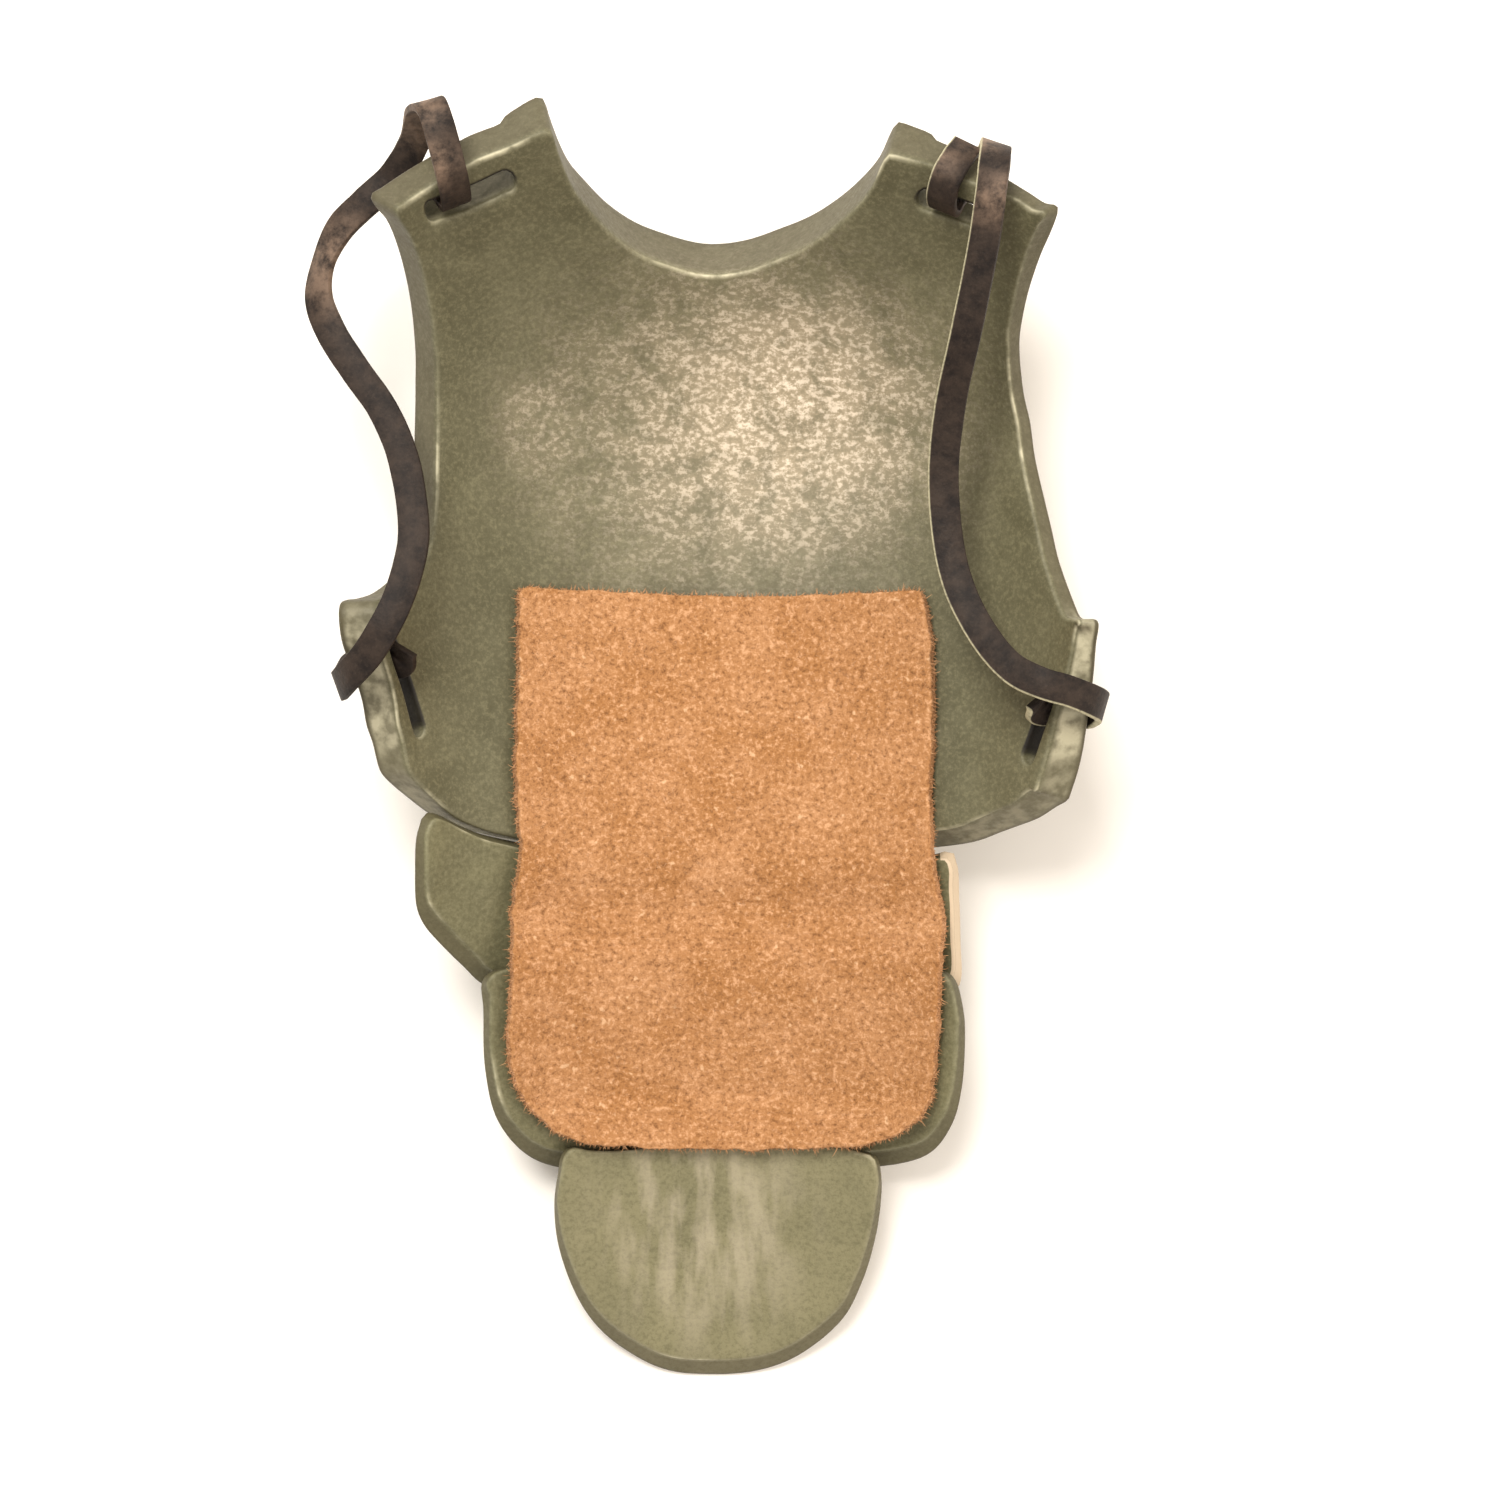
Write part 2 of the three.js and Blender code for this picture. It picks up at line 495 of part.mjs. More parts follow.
function chestWall(p) {
  const turn = turnOf(p)
  const thin = smoothstep(turn, ...THIN_BACK) * smoothstep(p.y / PLATE_LENGTH, ...THIN_FROM)
  const d = distanceTo(p, [neckLine])
  const nearEdge = 1 - smoothstep(d, NECK_ROLL_REACH - NECK_ROLL_STEP, NECK_ROLL_REACH)
  const roll = Math.max(0, 1 - (turn / ROLL_FADE) ** 2) * nearEdge
  return WALL - RIGHT_THINNING * thin + NECK_ROLL * roll
}

const slotHeight = STRAP_WALL + 2 * SLOT_CLEARANCE
const chest = plate(chestRim, WALL, plateFace, {
  holes: strapSlots.map(line => slotOutline(along(line), slotHeight, RIM_STEP)),
  creases: collarCreases,
  wall: chestWall,
  innerFace: chestFace,
  bevel: chestBevel
})
const upperLame = plate(upperRim, LAME_WALL, upperFace, { bevel: lameBevel })
const middleLame = plate(middleRim, LAME_WALL, middleFace, { bevel: lameBevel })
const lowerLame = plate(lowerRim, LAME_WALL, lowerFace, { bevel: lameBevel })
const suede = plate(suedeRim, SUEDE_WALL, suedeFace, { rounding: SUEDE_ROUND * SUEDE_WALL })

const group = new THREE.Group()
group.name = 'model_breastplate'
group.add(piece('chest_plate', chest, PAINT, 0.1, 0.6))
group.add(piece('upper_lame', upperLame, PAINT, 0.1, 0.6))
group.add(piece('middle_lame', middleLame, PAINT, 0.1, 0.6))
group.add(piece('lower_lame', lowerLame, PAINT, 0.1, 0.6))
group.add(piece('suede_panel', suede, SUEDE, 0, 0.95))
group.add(piece('left_strap', strapBand(leftStrap, STRAP_WIDTH, STRAP_WALL), LEATHER, 0, 0.75))
group.add(piece('right_strap', strapBand(rightStrap, STRAP_WIDTH, STRAP_WALL), LEATHER, 0, 0.75))

export default group
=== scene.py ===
import math

import bpy
import numpy as np
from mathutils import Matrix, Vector, noise
from mathutils.geometry import delaunay_2d_cdt


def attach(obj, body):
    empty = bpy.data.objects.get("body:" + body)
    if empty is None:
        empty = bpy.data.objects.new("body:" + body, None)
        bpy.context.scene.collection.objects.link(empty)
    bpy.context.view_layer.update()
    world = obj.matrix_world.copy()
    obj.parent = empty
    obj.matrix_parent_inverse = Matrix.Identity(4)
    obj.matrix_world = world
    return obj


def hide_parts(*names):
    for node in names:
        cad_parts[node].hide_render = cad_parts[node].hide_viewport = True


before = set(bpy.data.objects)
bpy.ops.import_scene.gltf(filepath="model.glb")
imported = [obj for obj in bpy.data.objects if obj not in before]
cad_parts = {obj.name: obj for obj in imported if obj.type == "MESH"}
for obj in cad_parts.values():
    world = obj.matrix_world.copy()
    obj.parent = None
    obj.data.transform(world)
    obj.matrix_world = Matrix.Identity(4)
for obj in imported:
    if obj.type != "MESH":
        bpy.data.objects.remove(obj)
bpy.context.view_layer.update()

# Chest plate. The real piece is cast in cream resin with walls over 3 mm thick, pulled from an open mould,
# and painted as old steel: olive brown below, silver dry-brushed over the hollow, rubbed along its edges.
# The paint carries painted light too: a highlight in the silver haze and along the edges, and shade in the
# slots.
MM = 0.001
HALF_WIDTH = 27 * MM
SIDE_DEPTH = 16.2 * MM
WALL = 3.3 * MM
PLATE_LENGTH = 58 * MM
NECK_BEND = 19.6 * MM
WAIST_RISE = 2.5 * MM
NECK_ROLL = 2.1 * MM
NECK_ROLL_REACH = 3.2 * MM
NECK_ROLL_STEP = 0.9 * MM
NECK_TURN = math.radians(30.4)
NECK_START = 0.25 * PLATE_LENGTH
ROLL_FADE = math.radians(45)
RIGHT_THINNING = 1.6 * MM
PLATE_BEVEL = 1.2 * MM
REST_FLAT = 0.15 * MM
EDGE_ROUND = 0.3 * MM
CAST_STEP = 0.75 * MM
PATTERN_RADIUS = 0.8 * HALF_WIDTH
SLOT_HEIGHT = 1.35 * MM
SHOULDER_BAR = 2.2 * MM
OUTLINE_STEP = 0.5 * MM
# Least light edge paint everywhere: wear, and on castings a faint painted highlight along every edge.
LEAST_WEAR_AND_HIGHLIGHT = 0.12
# Painted highlight on the slots' lower lips.
SLOT_LIP_HIGHLIGHT = 0.25

# A fixed seed, so the casting's small unevenness is the same in every run.
noise.seed_set(5)


def floor_height(y):
    """Height of the inner face along the middle: it curves up to the neck and eases up to the waist."""
    t = np.clip(-y / (0.55 * PLATE_LENGTH), 0, 1)
    rise = np.where(y > 0, y * y / (2 * NECK_BEND), WAIST_RISE * t * t * (3 - 2 * t))
    return WALL - REST_FLAT + rise


def body_point(turn, y, inward):
    """A point of the body form: turn round it in radians, place along it, distance inwards."""
    turn, y, inward = np.broadcast_arrays(turn, y, inward)
    slope = (floor_height(y + 1e-5) - floor_height(y - 1e-5)) / 2e-5
    normal = np.stack([
        -SIDE_DEPTH * np.sin(turn),
        -HALF_WIDTH * np.cos(turn) * slope,
        HALF_WIDTH * np.cos(turn),
    ], -1)
    normal /= np.linalg.norm(normal, axis=-1, keepdims=True)
    z = floor_height(y) + SIDE_DEPTH * (1 - np.cos(turn))
    return np.stack([HALF_WIDTH * np.sin(turn), y, z], -1) + normal * inward[..., None]


def curve_through(points, per_span, closed):
    """A centripetal curve through points, with a fixed number of steps in each span."""
    p = np.asarray(points, float)
    if closed:
        p = np.vstack([p[-1], p, p[0], p[1]])
    else:
        p = np.vstack([2 * p[0] - p[1], p, 2 * p[-1] - p[-2]])
    out = []
    for a, b, c, d in zip(p[:-3], p[1:-2], p[2:-1], p[3:]):
        ta, tb, tc = (max(np.linalg.norm(v) ** 0.5, 1e-6) for v in (b - a, c - b, d - c))
        start = ((b - a) / ta - (c - a) / (ta + tb) + (c - b) / tb) * tb
        end = ((c - b) / tb - (d - b) / (tb + tc) + (d - c) / tc) * tb
        t = np.arange(per_span)[:, None] / per_span
        out.append(b + t * start + t * t * (3 * (c - b) - 2 * start - end)
                   + t ** 3 * (2 * (b - c) + start + end))
    if not closed:
        out.append(p[-2:-1])
    return np.vstack(out)


def even_line(points, step, closed=True):
    """Turns a table of degrees and shares of the plate's length into an evenly stepped flat line."""
    flat = [(math.radians(turn) * PATTERN_RADIUS, share * PLATE_LENGTH) for turn, share in points]
    fine = curve_through(flat, 24, closed)
    if closed:
        fine = np.vstack([fine, fine[:1]])
    run = np.concatenate([[0], np.cumsum(np.linalg.norm(np.diff(fine, axis=0), axis=1))])
    count = max(6, round(run[-1] / step))
    at = np.linspace(0, run[-1], count + 1)
    line = np.stack([np.interp(at, run, fine[:, k]) for k in (0, 1)], -1)
    return line[:-1] if closed else line


def slot_outline(points, height, step):
    """A strap slot's outline round its centre line, with round ends."""
    line = even_line(points, step, closed=False)
    along = np.gradient(line, axis=0)
    along /= np.linalg.norm(along, axis=1, keepdims=True)
    across = np.stack([-along[:, 1], along[:, 0]], -1) * height / 2
    arc = np.radians(np.linspace(90, -90, 7))[1:-1, None]
    far = line[-1] + np.sin(arc) * across[-1] + np.cos(arc) * along[-1] * height / 2
    near = line[0] - np.sin(arc) * across[0] - np.cos(arc) * along[0] * height / 2
    return np.vstack([line + across, far, (line - across)[::-1], near])


def inside(points, loop):
    """Which points lie within a flat loop."""
    x, y = points[:, 0], points[:, 1]
    hit = np.zeros(len(points), bool)
    for (ax, ay), (bx, by) in zip(loop, np.roll(loop, -1, axis=0)):
        if ay == by:
            continue
        hit ^= ((ay > y) != (by > y)) & (x < (bx - ax) * (y - ay) / (by - ay) + ax)
    return hit


def nearest(points, loops):
    """The distance from each point to the loops' points, worked through in small blocks."""
    rim = np.vstack(loops)
    return np.concatenate([
        np.sqrt(((block[:, None] - rim[None]) ** 2).sum(-1)).min(1)
        for block in np.array_split(points, max(1, len(points) // 2000))
    ])


def signed_area(loop):
    """The area within a flat loop, positive where it runs anticlockwise."""
    x, y = loop[:, 0], loop[:, 1]
    return 0.5 * np.sum(x * np.roll(y, -1) - y * np.roll(x, -1))


def way_in(loop):
    """The direction towards the middle of a loop, at each of its points."""
    along = np.roll(loop, -1, axis=0) - np.roll(loop, 1, axis=0)
    along /= np.linalg.norm(along, axis=1, keepdims=True)
    return np.stack([-along[:, 1], along[:, 0]], -1) * np.sign(signed_area(loop))


def inset(loop, amount):
    """The loop moved inwards by an amount, or one amount for each of its points."""
    return loop + way_in(loop) * np.reshape(amount, (-1, 1))


def fill_pattern(loops, step):
    """Even triangles over a flat pattern with holes."""
    low, high = loops[0].min(0), loops[0].max(0)
    rows = np.arange(low[1], high[1], step * math.sqrt(3) / 2)
    grid = []
    for k, y in enumerate(rows):
        xs = np.arange(low[0] + (k % 2) * step / 2, high[0], step)
        grid.append(np.stack([xs, np.full(len(xs), y)], -1))
    grid = np.vstack(grid)
    keep = inside(grid, loops[0])
    for hole in loops[1:]:
        keep &= ~inside(grid, hole)
    grid = grid[keep]
    grid = grid[nearest(grid, loops) > 0.6 * step]
    points = np.vstack(loops + [grid])
    edges, first = [], 0
    for loop in loops:
        n = len(loop)
        edges += [(first + k, first + (k + 1) % n) for k in range(n)]
        first += n
    scaled = [Vector((float(x) * 1000, float(y) * 1000)) for x, y in points]
    _, _, faces, source, _, _ = delaunay_2d_cdt(scaled, edges, [], 1, 1e-6)
    back = np.array([s[0] for s in source])
    triangles = back[np.array([list(f) for f in faces if len(f) == 3])]
    middle = points[triangles].mean(1)
    keep = inside(middle, loops[0])
    for hole in loops[1:]:
        keep &= ~inside(middle, hole)
    return points, triangles[keep]


def mesh_piece(name, points, faces, layers=None):
    """A smooth-shaded object in the scene, with its wear layers as point attributes."""
    mesh = bpy.data.meshes.new(name)
    mesh.from_pydata([tuple(p) for p in points], [], [tuple(int(i) for i in f) for f in faces])
    mesh.shade_smooth()
    for key, values in (layers or {}).items():
        layer = mesh.attributes.new(key, "FLOAT", "POINT")
        layer.data.foreach_set("value", np.asarray(values, np.float32))
    mesh.update()
    piece = bpy.data.objects.new(name, mesh)
    bpy.context.scene.collection.objects.link(piece)
    return piece


def wear_and_highlight_spots(points, spots):
    """How far a piece is worn, and on castings also lit by painted highlight: a little everywhere, most
    round spots given as x, y, reach in mm.
    """
    wear_and_highlight = np.full(len(points), LEAST_WEAR_AND_HIGHLIGHT)
    for x, y, reach in spots:
        far = np.hypot(points[:, 0] - x * MM, points[:, 1] - y * MM) / (reach * MM)
        wear_and_highlight = np.maximum(wear_and_highlight, np.exp(-far ** 2))
    return wear_and_highlight


# How dark the paint lies on each part of an edge.
EDGE_PAINT = {"face": 0, "inner": 0, "wall": 0.7, "outer": 1}


def cast_sheet(name, rim, inner_face, wall, slots=(), bevel=None, flash=None, spots=(), wall_lightness=None,
               rounding=EDGE_ROUND, step=CAST_STEP, unevenness=0.05, grit=0.0):
    """A thick sheet bent on the body form, with rounded edges and the uneven faces of a casting.

    bevel slopes an edge back towards its inner face, and flash lets its outer side stand out a little.
    """
    loops = [rim, *slots]
    margins = [rounding] + [-rounding] * len(slots)
    slopes = [bevel(rim, way_in(rim)) if bevel else 0] + [0] * len(slots)
    fins = [flash(rim, way_in(rim)) if flash else 0] + [0] * len(slots)

    def edge(i, share, margin=1.0):
        return inset(loops[i], margins[i] * margin + slopes[i] * (1 - share) - fins[i] * share)

    flat, triangles = fill_pattern([edge(i, 0) for i in range(len(loops))], step)
    back = flat.copy()
    back[:sum(len(loop) for loop in loops)] = np.vstack([edge(i, 1) for i in range(len(loops))])
    points, wear_and_highlight, on_wall, slot_painted_shade, faces = [], [], [], [], []

    def layer(pattern, depth, part, loop=0, ridge=0.0):
        first = sum(len(p) for p in points)
        at = body_point(pattern[:, 0] / PATTERN_RADIUS, pattern[:, 1], inner_face(pattern) - depth)
        zero = np.zeros(len(at))
        # Light edge paint: wear, and a painted highlight along the edges and round the given spots.
        wear_highlight = wear_and_highlight_spots(at, spots) * ridge
        if part == "wall" and wall_lightness:
            wear_highlight = wall_lightness(pattern) if loop == 0 else zero + SLOT_LIP_HIGHLIGHT
        if loop > 0:
            # In slots only the lower lip, which faces the light, takes it: a painted highlight.
            wear_highlight = wear_highlight * np.clip(way_in(pattern)[:, 1], 0, 1)
        points.append(at)
        wear_and_highlight.append(wear_highlight)
        on_wall.append(zero + (EDGE_PAINT[part] if loop == 0 else 0))
        # Painted shade on the upper sides of the slots.
        slot_painted_shade.append(np.clip(-2 * way_in(pattern)[:, 1], 0, 1) if loop > 0 and part != "face" else zero)
        return first

    top = layer(flat, 0, "face")
    under = layer(back, wall(back), "face")
    faces += [(top + a, top + b, top + c) for a, b, c in triangles]
    faces += [(under + a, under + c, under + b) for a, b, c in triangles]
    start = 0
    for i, loop in enumerate(loops):
        n = len(loop)
        rings = [top + start]
        # Across the edge's rounding the light edge paint peaks at 60 degrees: wear and a painted highlight
        # along the edge.
        for angle, ridge in ((30, 0.35), (60, 0.9), (90, 0.1)):
            ring = edge(i, 0, 1 - math.sin(math.radians(angle)))
            drop = rounding * (1 - math.cos(math.radians(angle)))
            rings.append(layer(ring, drop, "inner", i, ridge))
        for share in (0.15, 0.5, 0.85):
            ring = edge(i, share, 0)
            rings.append(layer(ring, rounding + share * (wall(ring) - 2 * rounding), "wall", i))
        for angle in np.radians([90, 60, 30]):
            ring = edge(i, 1, 1 - math.sin(angle))
            rings.append(layer(ring, wall(ring) - rounding * (1 - math.cos(angle)), "outer", i))
        rings.append(under + start)
        turned = (signed_area(loop) < 0) != (i > 0)
        for a, b in zip(rings, rings[1:]):
            for k in range(n):
                j = (k + 1) % n
                quad = (a + k, b + k, b + j, a + j)
                faces.append(quad[::-1] if turned else quad)
        start += n
    points = np.vstack(points)
    for i, p in enumerate(points):
        at = Vector(p)
        swell = noise.noise(at / (5 * MM)) + 0.5 * noise.noise(at / (1.6 * MM))
        points[i] += np.array(noise.noise_vector(at / (3 * MM))) * 0.5 * unevenness * MM
        points[i, 2] += swell * unevenness * MM
        if grit:
            points[i, 2] += noise.noise(at / (0.45 * MM)) * grit * MM
    points[:, 2] = np.maximum(points[:, 2], 0)
    return mesh_piece(name, points, faces, {
        "wear_and_highlight": np.concatenate(wear_and_highlight), "wall": np.concatenate(on_wall), "slot_painted_shade": np.concatenate(slot_painted_shade)})


def linear(hex_colour):
    parts = [int(hex_colour[i:i + 2], 16) / 255 for i in (1, 3, 5)]
    return tuple(c / 12.92 if c <= 0.04045 else ((c + 0.055) / 1.055) ** 2.4 for c in parts) + (1.0,)


def per(length):
    """Pattern scale of a node for features of this length in metres."""
    return 1 / length


def add(tree, kind, settings=None, inputs=None):
    """One node with its settings; an input is a value, a socket, or a node, whose first output is taken."""
    made = tree.nodes.new("ShaderNode" + kind)
    for key, value in (settings or {}).items():
        setattr(made, key, value)
    for key, value in (inputs or {}).items():
        if isinstance(value, bpy.types.Node):
            value = next(socket for socket in value.outputs if socket.enabled)
        if isinstance(value, bpy.types.NodeSocket):
            tree.links.new(value, made.inputs[key])
        else:
            made.inputs[key].default_value = value
    return made


def new_material(name):
    material = bpy.data.materials.new(name)
    material.use_nodes = True
    tree = material.node_tree
    tree.nodes.clear()
    place = add(tree, "TexCoord").outputs["Object"]
    return material, tree, place


def patch(tree, place, middle, reach):
    """A soft patch of the hollow: 1 in its middle and 0 past its reach, both given in mm."""
    local = add(tree, "Mapping", {"vector_type": "TEXTURE"}, {
        "Vector": place, "Location": (middle[0] * MM, middle[1] * MM, 0),
        "Scale": (reach[0] * MM, reach[1] * MM, 1)})
    far = add(tree, "VectorMath", {"operation": "LENGTH"}, {0: local})
    fade = add(tree, "MapRange", {"interpolation_type": "SMOOTHSTEP"},
               {"Value": far.outputs["Value"], 1: 0.25, 2: 1.0, 3: 1.0, 4: 0.0})
    return fade


def painted_casting(name, tone, dabbed=(), streaked=(), raw_from=None):
    """Cast resin under olive acrylic, with silver dabbed on with a dry brush, and edges rubbed light.

    The matt paint has a fine grain and cloudy brush marks. Dry dabs leave cream silver on the high spots:
    clumps some 3 mm wide, broken into grains about half a millimetre wide; the broad silver haze under them
    is partly a painted highlight. The light on edges and slot lips is wear and painted highlight together.
    Edge walls hold dark paint, and the upper sides of the slots hold painted shade.
    """
    material, tree, place = new_material(name)
    cloud = add(tree, "TexNoise", inputs={
        "Vector": place, "Scale": per(5 * MM), "Detail": 4.0, "Roughness": 0.55, "Distortion": 0.5})
    clump = add(tree, "TexNoise", inputs={
        "Vector": place, "Scale": per(3 * MM), "Detail": 6.0, "Roughness": 0.6, "Distortion": 0.3})
    grain = add(tree, "TexNoise", inputs={
        "Vector": place, "Scale": per(0.4 * MM), "Detail": 3.0, "Roughness": 0.75})
    shade = add(tree, "MapRange", inputs={"Value": cloud, 1: 0.32, 2: 0.68, 3: 0.0, 4: 1.0})
    paint = add(tree, "Mix", {"data_type": "RGBA"}, {0: shade, 6: linear(tone[0]), 7: linear(tone[1])})
    pit = add(tree, "MapRange", inputs={"Value": grain, 1: 0.36, 2: 0.5, 3: 0.3, 4: 0.0})
    paint = add(tree, "Mix", {"data_type": "RGBA"}, {0: pit, 6: paint, 7: linear(PAINT_PIT)})
    lift = add(tree, "MapRange", inputs={"Value": grain, 1: 0.5, 2: 0.66, 3: 0.0, 4: 0.3})
    paint = add(tree, "Mix", {"data_type": "RGBA"}, {0: lift, 6: paint, 7: linear(PAINT_DRY)})
    for middle, reach, amount in dabbed:
        here = patch(tree, place, middle, reach)
        ragged = add(tree, "MapRange", inputs={"Value": clump, 1: 0.38, 2: 0.56, 3: 0.35, 4: 1.0})
        cover = add(tree, "Math", {"operation": "MULTIPLY"}, {0: here, 1: ragged})
        # Broad haze of dry-brushed silver and painted highlight over the patch.
        haze_and_highlight = add(tree, "Math", {"operation": "MULTIPLY"}, {0: cover, 1: amount})
        paint = add(tree, "Mix", {"data_type": "RGBA"}, {0: haze_and_highlight, 6: paint, 7: linear(SILVER_HAZE_AND_HIGHLIGHT)})
        level = add(tree, "Mapping", inputs={
            "Vector": place, "Scale": (per(0.6 * MM), per(0.48 * MM), per(0.5 * MM))})
        fleck = add(tree, "TexNoise", inputs={
            "Vector": level, "Scale": 1.0, "Detail": 5.0, "Roughness": 0.7})
        bright = add(tree, "MapRange", inputs={"Value": fleck, 1: 0.49, 2: 0.6, 3: 0.0, 4: 0.9 * amount})
        bright = add(tree, "Math", {"operation": "MULTIPLY"}, {0: cover, 1: bright})
        paint = add(tree, "Mix", {"data_type": "RGBA"}, {0: bright, 6: paint, 7: linear(SILVER)})
        bare = add(tree, "MapRange", inputs={"Value": fleck, 1: 0.36, 2: 0.47, 3: 0.4, 4: 0.0})
        bare = add(tree, "Math", {"operation": "MULTIPLY"}, {0: here, 1: bare})
        paint = add(tree, "Mix", {"data_type": "RGBA"}, {0: bare, 6: paint, 7: linear(tone[1])})
    for middle, reach, amount in streaked:
        drawn = add(tree, "Mapping", inputs={
            "Vector": place, "Scale": (per(1.6 * MM), per(9 * MM), per(1.6 * MM))})
        stroke = add(tree, "TexNoise", inputs={"Vector": drawn, "Scale": 1.0, "Detail": 3.0})
        line = add(tree, "MapRange", inputs={"Value": stroke, 1: 0.42, 2: 0.62, 3: 0.0, 4: amount})
        line = add(tree, "Math", {"operation": "MULTIPLY"}, {0: line, 1: patch(tree, place, middle, reach)})
        paint = add(tree, "Mix", {"data_type": "RGBA"}, {0: line, 6: paint, 7: linear(SILVER)})
    wall = add(tree, "Attribute", {"attribute_name": "wall"})
    brown = add(tree, "Math", {"operation": "MULTIPLY"}, {0: wall.outputs["Fac"], 1: 0.8})
    paint = add(tree, "Mix", {"data_type": "RGBA"}, {0: brown, 6: paint, 7: linear(EDGE_BROWN)})
    # Light edge paint on rubbed edges and spots, broken into patches: wear and painted highlight together.
    wear_highlight_attr = add(tree, "Attribute", {"attribute_name": "wear_and_highlight"})
    rub_patchiness = add(tree, "TexNoise", inputs={"Vector": place, "Scale": per(1.3 * MM), "Detail": 4.0})
    uneven = add(tree, "MapRange", inputs={"Value": rub_patchiness, 1: 0.38, 2: 0.6, 3: 0.25, 4: 1.0})
    patchy_wear_highlight = add(tree, "Math", {"operation": "MULTIPLY"}, {0: wear_highlight_attr.outputs["Fac"], 1: uneven})
    paint = add(tree, "Mix", {"data_type": "RGBA"}, {0: patchy_wear_highlight, 6: paint, 7: linear(RUBBED_EDGE_AND_HIGHLIGHT)})
    # Painted shade in the upper sides of the slots.
    slot_shade = add(tree, "Attribute", {"attribute_name": "slot_painted_shade"})
    paint = add(tree, "Mix", {"data_type": "RGBA"}, {0: slot_shade.outputs["Fac"], 6: paint, 7: linear(SLOT_PAINTED_SHADE)})
    if raw_from:
        side = add(tree, "SeparateXYZ", inputs={0: place})
        past = add(tree, "Math", {"operation": "GREATER_THAN"}, {0: side, 1: raw_from})
        edge = add(tree, "Math", {"operation": "ADD"}, {0: wear_highlight_attr.outputs["Fac"], 1: wall.outputs["Fac"]})
        edge = add(tree, "Math", {"operation": "GREATER_THAN"}, {0: edge, 1: 0.02})
        snapped = add(tree, "Math", {"operation": "MULTIPLY"}, {0: past, 1: edge})
        paint = add(tree, "Mix", {"data_type": "RGBA"}, {0: snapped, 6: paint, 7: linear(RAW_RESIN)})
    fine = add(tree, "Bump", inputs={"Strength": 0.6, "Distance": 0.05 * MM, "Height": grain})
    swirl = add(tree, "Bump", inputs={
        "Strength": 0.5, "Distance": 0.15 * MM, "Height": clump, "Normal": fine})
    dull = add(tree, "MapRange", inputs={"Value": grain, 1: 0.3, 2: 0.7, 3: 0.68, 4: 0.52})
    shader = add(tree, "BsdfPrincipled", inputs={
        "Base Color": paint, "Roughness": dull, "Normal": swirl, "Specular IOR Level": 0.4})
    add(tree, "OutputMaterial", inputs={"Surface": shader})
    return material


PLATE_TONE = ("#54513a", "#636048")
LAME_TONE = ("#605d43", "#6d6a4d")
LAST_LAME_TONE = ("#706c50", "#7e795b")
PAINT_PIT = "#434029"
PAINT_DRY = "#8a8566"
SILVER = "#e6d8c4"
# Silver haze: dry-brushed silver, and a painted highlight over the hollow.
SILVER_HAZE_AND_HIGHLIGHT = "#a5977f"
EDGE_BROWN = "#4c4531"
# Light edge paint: rubbed wear and a painted highlight.
RUBBED_EDGE_AND_HIGHLIGHT = "#d3cdb0"
RAW_RESIN = "#c4b299"
# Painted shade inside the slots.
SLOT_PAINTED_SHADE = "#1d1914"

chest_rim = even_line([
    (0, -0.555), (20, -0.545), (41, -0.529), (47.3, -0.521), (52.4, -0.508), (57.3, -0.497), (62.3, -0.486),
    (67.3, -0.469), (69.8, -0.462), (70.8, -0.456), (71.3, -0.448),
    (72.9, -0.427), (75.8, -0.387), (78.2, -0.352), (84.4, -0.281), (88, -0.243), (90.6, -0.227),
    (91, -0.219), (90, -0.213),
    (86, -0.211), (82, -0.208), (80.6, -0.204), (79.6, -0.197),
    (76.2, -0.162), (72.9, -0.118), (70.5, -0.07), (67.4, -0.011), (65.7, 0.026), (64.3, 0.07),
    (62.3, 0.107), (60.8, 0.156), (60.6, 0.184), (61.8, 0.218), (63.3, 0.246), (65.8, 0.279), (68.6, 0.305),
    (70, 0.321), (70.3, 0.329), (69.6, 0.334),
    (66.3, 0.339), (60.5, 0.356), (48.4, 0.382), (38.5, 0.407), (35.3, 0.413), (31.5, 0.42), (30.3, 0.422),
    (29.5, 0.419),
    (28.5, 0.408), (26.8, 0.384), (22.3, 0.352), (16, 0.321), (9.7, 0.302), (3.6, 0.288), (-2.6, 0.285),
    (-9.4, 0.297), (-14, 0.31), (-19, 0.334), (-22.7, 0.36), (-25, 0.378), (-26.6, 0.399), (-28, 0.425),
    (-28.7, 0.441), (-29.3, 0.447), (-30.3, 0.447),
    (-37.4, 0.427), (-44.1, 0.411), (-46.4, 0.404), (-57.2, 0.372), (-65.7, 0.347),
    (-68.4, 0.34), (-68.7, 0.334), (-67.6, 0.326), (-64.4, 0.31), (-61.5, 0.272), (-59.6, 0.225),
    (-58.6, 0.165), (-58.8, 0.11), (-59.2, 0.053), (-59.4, 0.01), (-59.6, -0.04), (-61, -0.095),
    (-64.5, -0.137), (-71, -0.166), (-78, -0.178), (-84.5, -0.183), (-87.8, -0.188), (-89.2, -0.198),
    (-89, -0.214), (-86.8, -0.236),
    (-83.2, -0.258), (-78.3, -0.286), (-74.9, -0.32), (-73, -0.355), (-70.8, -0.379), (-69.3, -0.404),
    (-68.7, -0.414), (-68, -0.421), (-66.8, -0.428),
    (-64.4, -0.439), (-59.7, -0.459), (-53.5, -0.485), (-47.6, -0.501), (-40.8, -0.514), (-20, -0.541),
], OUTLINE_STEP)
